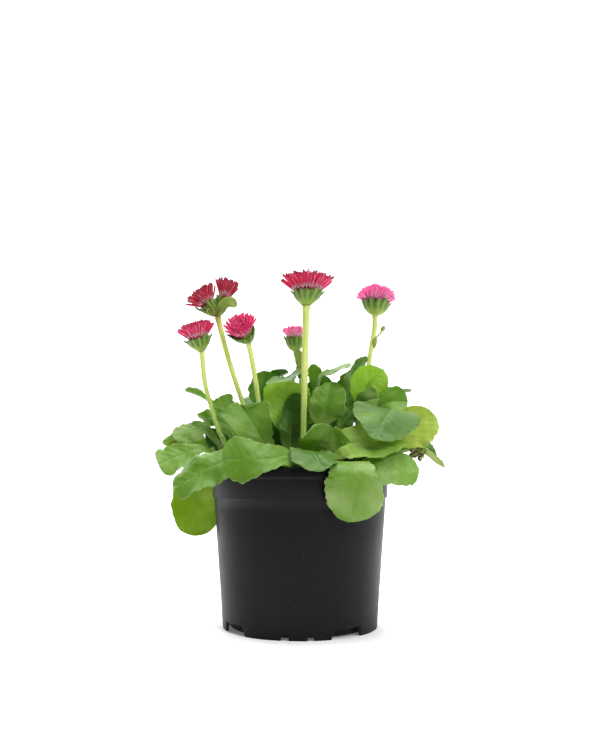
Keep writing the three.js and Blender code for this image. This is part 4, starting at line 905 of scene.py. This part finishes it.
def cup_shapes(head, end, stalk_radius):
    """The green cup under the florets: a turned core and two whorls of overlapping bracts."""
    foot = to_head(head, end)
    radius, bowl = head["radius"], head.get("bowl", 0)
    low, mid = blend(stalk_radius * 1.5, radius * 0.5, bowl), radius * blend(0.64, 0.78, bowl)
    radii = np.interp(-CORE_PLACES, [-1.12, -0.94, -0.5, 0],
                      [stalk_radius * 0.8, low - 0.2, mid - 0.1, radius * 0.88])
    radii[-1] = 0.3 * radius
    shapes = [tube(foot * CORE_PLACES[:, None], radii, CORE_SIDES, {"share": np.linspace(0, 1, 7)})]
    slim = 1 - np.abs(BRACT_COLUMNS)[None]
    half = radius * 0.3 * np.sqrt(np.clip(np.sin(math.pi * (0.12 + 0.87 * BRACT_ROWS)), 0, 1))
    for whorl in range(2):
        for i in range(BRACTS_PER_WHORL):
            angle = 2 * math.pi * (i + whorl / 2) / BRACTS_PER_WHORL + rng.normal(0, 0.05)
            reach = 1.04 - 0.1 * whorl + rng.normal(0, 0.1)
            flare = rng.uniform(0, 1.1)
            s = BRACT_ROWS * reach
            ring = np.interp(s, [0, 0.12, 0.5, 1, 1.3],
                             [stalk_radius, low, mid, radius * 0.9, radius])
            ring = ring + flare * ease(s, 0.7, 1.1)
            centre = foot * np.maximum(1 - s, 0)[:, None]
            centre[:, 2] += np.maximum(s - 1, 0) * -foot[2] * 0.9
            turn = angle + BRACT_COLUMNS * half[:, None] / np.maximum(ring, 1)[:, None]
            raised = 0.2 + 0.25 * (1 - whorl) + 0.6 * slim
            faces = []
            for lift in (raised, raised - BRACT_THICKNESS):
                out = ring[:, None] + lift
                faces.append(np.stack([out * np.cos(turn), out * np.sin(turn), 0 * turn], -1)
                             + centre[:, None])
            # A painted highlight along each bract's raised middle, strongest on the first whorl
            shapes.append(sheet(*faces, {
                "share": ease(BRACT_ROWS, 0.05, 0.5)[:, None] + 0 * turn,
                "ridge": (1 - 0.85 * whorl) * slim ** 2.4 + 0 * turn}))
    return [{**shape, "points": from_head(head, shape["points"]), "material": 1} for shape in shapes]


def hairs_on(centres, radii, count):
    """Short hairs that stand out from a stalk, as three-sided spikes."""
    spot = rng.uniform(0, len(centres) - 1.001, count)
    first = spot.astype(int)
    share = (spot - first)[:, None]
    base = centres[first] * (1 - share) + centres[first + 1] * share
    along = unit(centres[first + 1] - centres[first])
    out = rng.normal(size=(count, 3))
    out = unit(out - np.sum(out * along, 1, keepdims=True) * along)
    other = np.cross(along, out)
    base = base + out * radii[first][:, None] * 0.95
    tip = base + unit(out + along * rng.normal(0.2, 0.25, (count, 1))) \
        * HAIR_LENGTH * rng.uniform(0.6, 1.1, (count, 1))
    ring = [base + HAIR_RADIUS * (math.cos(a) * along + math.sin(a) * other)
            for a in (0, 2 * math.pi / 3, 4 * math.pi / 3)]
    points = np.stack([*ring, tip], 1).reshape(-1, 3)
    faces = [[4 * k + i, 4 * k + (i + 1) % 3, 4 * k + 3] for k in range(count) for i in range(3)]
    return {"points": points, "faces": faces, "values": {"share": np.ones(4 * count)}, "material": 2}


print("bracts to a cup:", 2 * BRACTS_PER_WHORL)

# %% Stalks
STALK_RINGS, STALK_SIDES, STALK_RIDGES, RIDGE_DEPTH = 64, 24, 8, 0.035
GREEN_TO, PALE_FROM = 112, 182

for stalk in STALKS:
    place = np.linspace(0, 1, STALK_RINGS)
    centres, _ = smooth_curve([[*stalk["path"][0][:2], ROOT_HEIGHT], *stalk["path"]], place)
    radii = stalk["radius"] * (0.96 + 0.05 * np.sin(9 * place) + 0.22 * ease(place, 0.93, 1))
    paleness = ease(centres[:, 2], GREEN_TO, PALE_FROM)
    shapes = [tube(centres, radii, STALK_SIDES, {"share": paleness}, STALK_RIDGES, RIDGE_DEPTH)]
    for head in stalk["heads"]:
        shapes += cup_shapes(head, stalk["path"][-1], stalk["radius"])
    for bract in stalk.get("bracts", []):
        shape = leaf_sheet(bract["points"], compass(*bract["across"]), bract["width"], 0,
                           bract["cup"], 0, 5, rows=30)
        across = shape["values"]["across_mm"]
        # A painted highlight along the bract's middle
        values = {"share": 0.55 + 0 * across, "ridge": 0.3 * np.exp(-(across / 0.6) ** 2)}
        shapes.append({**shape, "values": values, "material": 1})
    for thread in stalk.get("threads", []):
        line, _ = smooth_curve(thread["path"], np.linspace(0, 1, 18))
        shapes.append({**tube(line, np.full(18, thread["radius"]), 10, {"share": 0.3}), "material": 1})
    for bulge in stalk.get("swellings", []):
        t = np.linspace(-1, 1, 13)
        axis = compass(0, 90 - bulge["lean"])
        line = np.array(bulge["middle"]) + t[:, None] * axis * bulge["length"] / 2
        fat = bulge["radius"] * np.sqrt(np.maximum(1 - t ** 2, 0.01))
        shapes.append({**tube(line, fat, 16, {"share": 0.35}), "material": 1})
    upper = centres[:, 2] > LEAFY_TOP
    shapes.append(hairs_on(centres[upper], radii[upper],
                           int(HAIRS_PER_MM * (centres[-1, 2] - LEAFY_TOP))))
    piece(stalk["name"] + "_scape", "stalk_" + stalk["name"], shapes,
          [SCAPE, BRACT, HAIR])
print("flower stalks:", len(STALKS))

# %% [markdown]
# ## Florets
# A double daisy's head is packed with quilled ray florets: each petal is rolled into a narrow
# tube, white where it leaves the cup, crimson higher up and darker at its open tip, partly its
# own colour and partly painted shade for the gaps between the quills. Lighter streaks along
# the tubes are painted highlights. They sit in the spiral that seeds have in a sunflower, each
# turned from the last by the golden angle, and they lean out further towards the rim.

# %% Floret materials
PETAL_GLOW_SHARE = 0.35
WHITE_TO, RED_FROM, DARK_FROM = 0.18, 0.33, 0.84


def floret_material(name, foot, body, light, tip):
    """Velvety petals: white foot, strong body colour, painted highlight streaks, a dark tip partly
    painted shade.
    """
    material, tree, surface = empty_material(name)
    share, own, highlight_round_quill = (add(tree, "Attribute", {"attribute_name": value}, output="Fac")
                          for value in ("share", "own", "ridge"))
    # Lighter streaks along some quills: painted highlights
    painted_streaks = add(tree, "Math", MULTIPLY, [own, highlight_round_quill])
    white = add(tree, "MapRange", SMOOTH, [share, WHITE_TO, RED_FROM, 1.0, 0.0])
    # The tip's darker colour: partly the petal's own, partly painted shade for the gaps between quills
    dark = add(tree, "MapRange", SMOOTH, [share, DARK_FROM, 1.0, 0.0, 0.85])
    colour = linear(body)
    for part, tone in ((painted_streaks, light), (white, foot), (dark, tip)):
        colour = add(tree, "Mix", RGBA, {0: part, 6: colour, 7: linear(tone)}, 2)
    place = add(tree, "TexCoord", output="Object")
    velvet = add(tree, "TexNoise", None, {"Vector": place, "Scale": 2500.0})
    relief = add(tree, "Bump", None, {"Strength": 0.2, "Distance": 0.0002, "Height": velvet})
    skin = add(tree, "BsdfPrincipled", None, {
        "Base Color": colour, "Roughness": 0.5, "IOR": JUICE_IOR, "Normal": relief,
        "Sheen Weight": 0.15, "Sheen Roughness": 0.4})
    through = add(tree, "BsdfTranslucent", None, {"Color": colour})
    tree.links.new(add(tree, "MixShader", None, [PETAL_GLOW_SHARE, skin, through]), surface)
    return material


# Each: kind, name, foot, body, painted highlight and tip colours
FLORET_KINDS = {kind: floret_material(kind_name, *colours) for kind, kind_name, *colours in [
    ("crimson", "crimson daisy petal", "#ffe8f0", "#ea1460", "#ffa4ca", "#940a3e"),
    ("rose", "rose daisy petal", "#ffe8f0", "#f62878", "#ffacd0", "#b41858"),
    ("fair", "fair rose daisy petal", "#ffe4ee", "#ff4c98", "#ffc4de", "#ec4088"),
    ("wine", "wine daisy petal", "#ffd4dc", "#d82850", "#fa90ae", "#820c34"),
    ("pink", "pink daisy petal", "#ffffff", "#ff96ce", "#ffdcf0", "#f660b0"),
]}
print("petal materials:", len(FLORET_KINDS))

# %% Florets
CUP_WALL, CUP_GAP = 1.0, 0.3
CUP_FLOOR = 0.25
CORE_SHARE = 0.45
LEAN_POWER = 1.5
SIDE_DROP = 0.22
QUILL_SIDES = 7
GOLDEN_ANGLE = math.pi * (3 - math.sqrt(5))
# Along one quill: the share of its length and its radius as a share of the tip's
QUILL_HEIGHTS = np.array([0, 0.12, 0.35, 0.6, 0.82, 0.95, 1.0, 0.97, 0.86])
QUILL_RADII = np.array([0.55, 0.68, 0.78, 0.9, 1.0, 0.98, 0.82, 0.6, 0.25])


def quills(head, foot):
    """Every quill of a head in its own frame, as one shape."""
    i = np.arange(head["count"])
    core = head["radius"] - CUP_WALL - CUP_GAP
    out = np.sqrt(blend(head.get("hollow", 0) ** 2, 1, (i + 0.5) / head["count"]))
    lean = np.radians(head["spread"]) * out ** LEAN_POWER + rng.normal(0, 0.06, len(i))
    sunk = head["length"] * CORE_SHARE * (np.sqrt(1 - (0.96 * out) ** 2) - 0.25)
    reach = head["length"] * blend(head["middle"], 1, out ** 2) * (1 - SIDE_DROP * out ** 8) - sunk
    reach = reach * rng.uniform(0.9, 1.1, len(i))
    fat = head["quill"] * rng.uniform(0.82, 1.12, len(i))
    # From here on: for each quill, for each ring up it, for each point round the ring
    out, lean, sunk, reach, fat, spin = (
        v[:, None, None] for v in (out, lean, sunk, reach, fat, i * GOLDEN_ANGLE))
    up, angle = QUILL_HEIGHTS[:, None], np.linspace(0, 2 * math.pi, QUILL_SIDES, endpoint=False)
    radius = fat * QUILL_RADII[:, None]
    x = radius * np.cos(angle) + rng.normal(0.25, 0.5, (len(i), 1, 1)) * up ** 2
    y = radius * np.sin(angle) * 0.9 + rng.normal(0, 0.35, (len(i), 1, 1)) * up ** 2
    z = reach * up + 0.35 * fat * np.cos(angle + 1) * (up > 0.8)
    x, z = x * np.cos(lean) + z * np.sin(lean), z * np.cos(lean) - x * np.sin(lean)
    x, z = x + out * core * 0.86, z + sunk
    x, y = x * np.cos(spin) - y * np.sin(spin), x * np.sin(spin) + y * np.cos(spin)
    points = np.stack([x + foot[0] * CUP_FLOOR, y + foot[1] * CUP_FLOOR, z], -1).reshape(-1, 3)
    size = len(QUILL_HEIGHTS) * QUILL_SIDES
    one = grid_faces(len(QUILL_HEIGHTS), QUILL_SIDES, closed=True)
    faces = (one[None] + (i * size)[:, None, None]).reshape(-1, 4).tolist()
    faces += [list(range((k + 1) * size - QUILL_SIDES, (k + 1) * size)) for k in i]
    own = rng.uniform(0, 1, len(i))[:, None, None]
    share = np.append(QUILL_HEIGHTS[:-2], [1.05, 1.1])[:, None]
    # The last value sets where round each quill its painted highlight streak lies
    values = {name: np.broadcast_to(v, x.shape).ravel() for name, v in (
        ("share", share), ("own", own), ("ridge", 0.5 + 0.5 * np.cos(2 * angle)))}
    return {"points": points, "faces": faces, "values": values}


def floret_core(head, foot):
    """The cushion that the quills stand on, hidden under them."""
    core = head["radius"] - CUP_WALL - CUP_GAP
    height = head["length"] * CORE_SHARE
    heights = [foot[2] * CUP_FLOOR + 0.5, 0.2, height * 0.3, height * 0.8, height]
    radii = np.array([head["radius"] * 0.45, core * 0.9, core * 0.8, core * 0.5, 0.3])
    centres = np.array([[foot[0] * CUP_FLOOR, foot[1] * CUP_FLOOR, z] for z in heights])
    return tube(centres, radii, 24, {"share": 0.6})


for stalk in STALKS:
    for head in stalk["heads"]:
        foot = to_head(head, stalk["path"][-1])
        shapes = [{**shape, "points": from_head(head, shape["points"])}
                  for shape in (quills(head, foot), floret_core(head, foot))]
        piece(head["name"] + "_florets", "florets_" + head["name"],
              shapes, [FLORET_KINDS[head["colour"]]])
        print(head["name"], "quills:", head["count"])

# %% [markdown]
# ## The pot
# A nursery pot is black polypropylene, blown thin in a mould: a rolled lip, a collar below it
# that stops stacked pots from jamming, a wall that tapers to notched feet, and a raised floor.
# It is one turned wall here. The bottom edge of each column of points is lifted where a notch
# is, which keeps the wall a clean grid with no Boolean cuts in it.

# %% Pot material
pot_plastic, tree, surface = empty_material("black moulded polypropylene")
place = add(tree, "TexCoord", output="Object")
cloud, dust, ripple = (
    add(tree, "TexNoise", None, {"Vector": place, "Scale": scale, "Detail": detail})
    for scale, detail in ((25.0, 4.0), (900.0, 2.0), (300.0, 1.0)))
tone = add(tree, "Mix", RGBA, {0: cloud, 6: linear("#101011"), 7: linear("#161618")}, 2)
speck = add(tree, "MapRange", None, [dust, 0.66, 0.8, 0.0, 0.25])
dusty = add(tree, "Mix", RGBA, {0: speck, 6: tone, 7: linear("#6b6258")}, 2)
relief = add(tree, "Bump", None, {"Strength": 0.12, "Distance": 0.0003, "Height": ripple})
rough = add(tree, "MapRange", None, [cloud, 0.3, 0.7, 0.36, 0.5])
tree.links.new(add(tree, "BsdfPrincipled", None, {
    "Base Color": dusty, "Roughness": rough, "IOR": 1.49, "Specular IOR Level": 0.13,
    "Normal": relief}), surface)
print("pot material:", pot_plastic.name)

# %% Pot
POT_HEIGHT, LIP_RADIUS, LIP_DEPTH = 104.5, 57.8, 6.4
COLLAR_RADIUS, COLLAR_DEPTH = 57.2, 13
WALL_TOP_RADIUS, BASE_RADIUS, POT_WALL = 56.3, 50.6, 1.4
FLOOR_RISE, FLOOR_THICKNESS = 6, 1.6
PAD_RADIUS = 10
FOOT_COUNT, FOOT_MIDDLE = 4, -100
FOOT_GAP_BASE, FOOT_GAP_TOP = 23, 18
DRAIN_LENGTH, DRAIN_WIDTH, DRAIN_RADIUS = 15, 5, 41
PAN_RADIUS, PAN_RISE = 46, 0.8
NICKS = [{"turn": -0.6, "width": 5, "height": 3}, {"turn": 17.4, "width": 4, "height": 2}]
POT_COLUMNS = 720

lip_foot = POT_HEIGHT - LIP_DEPTH
collar_foot = lip_foot - COLLAR_DEPTH
floor_top, pan_top = FLOOR_RISE + FLOOR_THICKNESS, PAN_RISE + FLOOR_THICKNESS
drain_inside, drain_outside = DRAIN_RADIUS - DRAIN_WIDTH / 2, DRAIN_RADIUS + DRAIN_WIDTH / 2
pot_angle = np.linspace(-180, 180, POT_COLUMNS, endpoint=False)


def wall(height, inward=0):
    """The radius and height of a point on the tapering wall, or inward from it."""
    return blend(BASE_RADIUS, WALL_TOP_RADIUS, height / collar_foot) - inward, height


def arc_from(turn, radius):
    """How far each column of the pot is from a turn, along the arc at a radius."""
    return np.abs((pot_angle - turn + 180) % 360 - 180) * math.radians(radius)


bottom = np.zeros(POT_COLUMNS)
drained = np.zeros(POT_COLUMNS, bool)
for foot in range(FOOT_COUNT):
    middle = FOOT_MIDDLE + 360 / FOOT_COUNT * foot
    gap = middle + 180 / FOOT_COUNT
    drained |= arc_from(gap, DRAIN_RADIUS) < DRAIN_LENGTH / 2
    opened = (FOOT_GAP_BASE / 2 - arc_from(gap, BASE_RADIUS)) / (FOOT_GAP_BASE - FOOT_GAP_TOP) * 2
    bottom = np.maximum(bottom, FLOOR_RISE * np.clip(opened, 0, 1))
    for nick in NICKS:
        away = arc_from(middle + nick["turn"], BASE_RADIUS)
        arch = np.sqrt(np.clip(1 - (away / (nick["width"] / 2)) ** 2, 0, 1))
        bottom = np.maximum(bottom, nick["height"] * np.minimum(1, 1.6 * arch))

# Radius and height, from the pad out to the base, up the outside, down the inside and over the
# floor to the drain slots. The two points at the foot of the wall follow the notches.
underside = [(PAD_RADIUS, 0), (PAD_RADIUS + 0.1, PAN_RISE), (drain_inside, PAN_RISE),
             (drain_outside, PAN_RISE), (PAN_RADIUS - 0.8, PAN_RISE),
             (PAN_RADIUS, PAN_RISE + 0.8), (PAN_RADIUS + 0.3, FLOOR_RISE),
             (BASE_RADIUS - POT_WALL - 0.1, FLOOR_RISE), (BASE_RADIUS - POT_WALL, 0)]
outside = [*map(wall, (0, 6.4, 7, 30, 55, 78)), (wall(84)[0], collar_foot - 0.8),
           (COLLAR_RADIUS - 0.2, collar_foot - 0.35), (COLLAR_RADIUS, collar_foot + 0.1),
           (COLLAR_RADIUS, lip_foot - 1.2), (COLLAR_RADIUS + 0.1, lip_foot - 0.4)]
lip = [(LIP_RADIUS - 0.1, lip_foot + 0.1), (LIP_RADIUS, lip_foot + 0.6),
       (LIP_RADIUS, POT_HEIGHT - 0.8), (LIP_RADIUS - 0.3, POT_HEIGHT - 0.2),
       (LIP_RADIUS - 0.8, POT_HEIGHT), (LIP_RADIUS - 1.5, POT_HEIGHT)]
inside = [(COLLAR_RADIUS - POT_WALL, POT_HEIGHT - 0.3), (COLLAR_RADIUS - POT_WALL - 0.1, lip_foot),
          (WALL_TOP_RADIUS - POT_WALL, collar_foot), wall(40, POT_WALL), wall(floor_top, POT_WALL),
          (PAN_RADIUS - POT_WALL + 0.3, floor_top), (PAN_RADIUS - POT_WALL, pan_top),
          (drain_outside, pan_top), (drain_inside, pan_top)]
profile = np.array(underside + outside + lip + inside)
turn = np.radians(pot_angle)
flat = np.ones(POT_COLUMNS)
rings = np.stack([np.outer(profile[:, 0], np.cos(turn)), np.outer(profile[:, 0], np.sin(turn)),
                  np.outer(profile[:, 1], flat)], -1)
rings[len(underside) - 1:len(underside) + 1, :, 2] = np.minimum(bottom, FLOOR_RISE - 0.01)

rows = len(rings)
LOW_IN, LOW_OUT, HIGH_OUT, HIGH_IN = 2, 3, rows - 2, rows - 1
whole = np.ones((rows - 1, POT_COLUMNS), bool)
whole[[LOW_IN, HIGH_OUT]] = ~drained
pot_faces = grid_faces(rows, POT_COLUMNS, closed=True)[whole.ravel()].tolist()
for c in np.flatnonzero(drained):
    (low_in, low_out, high_out, high_in), (low_in_2, low_out_2, high_out_2, high_in_2) = (
        [row * POT_COLUMNS + int(column) % POT_COLUMNS for row in (LOW_IN, LOW_OUT, HIGH_OUT, HIGH_IN)]
        for column in (c, c + 1))
    pot_faces += [[low_in, low_in_2, high_in_2, high_in], [low_out_2, low_out, high_out, high_out_2]]
    if not drained[c - 1]:
        pot_faces.append([low_in, high_in, high_out, low_out])
    if not drained[(c + 1) % POT_COLUMNS]:
        pot_faces.append([low_out_2, high_out_2, high_in_2, low_in_2])
pot_faces += [list(range(POT_COLUMNS))[::-1], list(range(HIGH_IN * POT_COLUMNS, rows * POT_COLUMNS))]
pot_shape = {"points": rings.reshape(-1, 3), "faces": pot_faces, "values": {}}
piece("nursery_pot", "pot", [pot_shape], [pot_plastic])
print("pot faces:", len(pot_faces))

# %% [markdown]
# ## The peat
# The growing medium is a peat mix: dark brown crumbs, up to about 4 mm across. Only its top
# shows, between the leaf stalks, so the top is a fine bumpy disc with loose crumbs sunk in it,
# on a plain body that fills the pot.

# %% Peat material
peat_mix, tree, surface = empty_material("moist peat mix")
place = add(tree, "TexCoord", output="Object")
clods = add(tree, "TexNoise", None, {"Vector": place, "Scale": 350.0, "Detail": 5.0})
brown = add(tree, "Mix", RGBA, {0: clods, 6: linear("#17110d"), 7: linear("#4a382a")}, 2)
relief = add(tree, "Bump", None, {"Strength": 0.8, "Distance": 0.001, "Height": clods})
tree.links.new(add(tree, "BsdfPrincipled", None, {
    "Base Color": brown, "Roughness": 0.95, "Specular IOR Level": 0.2, "Normal": relief}), surface)
print("peat material:", peat_mix.name)

# %% Peat
PEAT_CLEARANCE = 0.3
PEAT_MIDDLE_HEIGHT, PEAT_EDGE_HEIGHT = 95.8, 94.3
PEAT_RINGS, PEAT_SPOKES = 56, 160
BUMP_HEIGHT, BUMP_SCALES = 0.8, (1, 1.5, 2.2, 3, 4.5, 6)
CRUMB_COUNT = 900

reach = WALL_TOP_RADIUS - POT_WALL - PEAT_CLEARANCE
ring_share = np.linspace(0.004, 1, PEAT_RINGS)[:, None]
spoke = np.linspace(0, 2 * math.pi, PEAT_SPOKES, endpoint=False)[None]
x = reach * ring_share * np.cos(spoke)
y = reach * ring_share * np.sin(spoke)
waves = [(rng.normal(size=2) * 0.22 * k, rng.uniform(0, 6.28), 0.5 / k) for k in BUMP_SCALES]
bumps = sum(height * np.sin(way[0] * x + way[1] * y + phase) for way, phase, height in waves)
z = blend(PEAT_MIDDLE_HEIGHT, PEAT_EDGE_HEIGHT, ring_share ** 2) + bumps * BUMP_HEIGHT
top = np.stack([x, y, z + 0 * x], -1)
floor_height, pan_height = floor_top + PEAT_CLEARANCE, pan_top + PEAT_CLEARANCE
lower_rings = [
    np.stack([radius * np.cos(spoke[0]), radius * np.sin(spoke[0]), np.full(PEAT_SPOKES, height)], -1)
    for radius, height in [
        (WALL_TOP_RADIUS - POT_WALL - PEAT_CLEARANCE, collar_foot - 0.8),
        wall(floor_height, POT_WALL + PEAT_CLEARANCE), (PAN_RADIUS - POT_WALL, floor_height),
        (PAN_RADIUS - POT_WALL - PEAT_CLEARANCE, pan_height), (0.3, pan_height)]]
rings = np.concatenate([top, np.stack(lower_rings)])[::-1]
faces = grid_faces(len(rings), PEAT_SPOKES, closed=True).tolist()
faces += [list(range(PEAT_SPOKES))[::-1],
          list(range((len(rings) - 1) * PEAT_SPOKES, len(rings) * PEAT_SPOKES))]
body = {"points": rings.reshape(-1, 3), "faces": faces, "values": {}}

octahedron = np.array([[1, 0, 0], [0, 1, 0], [-1, 0, 0], [0, -1, 0], [0, 0, 1], [0, 0, -1]], float)
octahedron_faces = [[i, (i + 1) % 4, 4] for i in range(4)] + [[(i + 1) % 4, i, 5] for i in range(4)]
crumbs = []
for _ in range(CRUMB_COUNT):
    angle, share = rng.uniform(0, 2 * math.pi), math.sqrt(rng.uniform(0, 0.95))
    size = rng.uniform(0.5, 1.6)
    height = blend(PEAT_MIDDLE_HEIGHT, PEAT_EDGE_HEIGHT, share ** 2) + rng.uniform(-0.2, 0.5)
    middle = [reach * share * math.cos(angle), reach * share * math.sin(angle), height]
    twist = np.linalg.qr(rng.normal(size=(3, 3)))[0]
    twist[:, 0] *= np.sign(np.linalg.det(twist))
    crumbs.append({"points": octahedron * rng.uniform(0.6, 1.2, 3) * size @ twist.T + middle,
                   "faces": octahedron_faces, "values": {}})
piece("peat", "soil", [body, *crumbs], [peat_mix])
print("crumbs:", CRUMB_COUNT)

# %% [markdown]
# ## Sizes
# The boxes of the CAD model and of the dressed plant are both printed, to show whether the
# plant stays within the CAD model's size.

# %% Sizes
dressed_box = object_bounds()
triangles = sum(len(face.vertices) - 2 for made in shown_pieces() if made.type == "MESH"
                for face in made.data.polygons)
print("triangles:", triangles)
for low, high, word in ((*cad_box, "CAD"), (*dressed_box, "dressed")):
    print(word, [round((b - a) / MM, 1) for a, b in zip(low, high)], "mm")
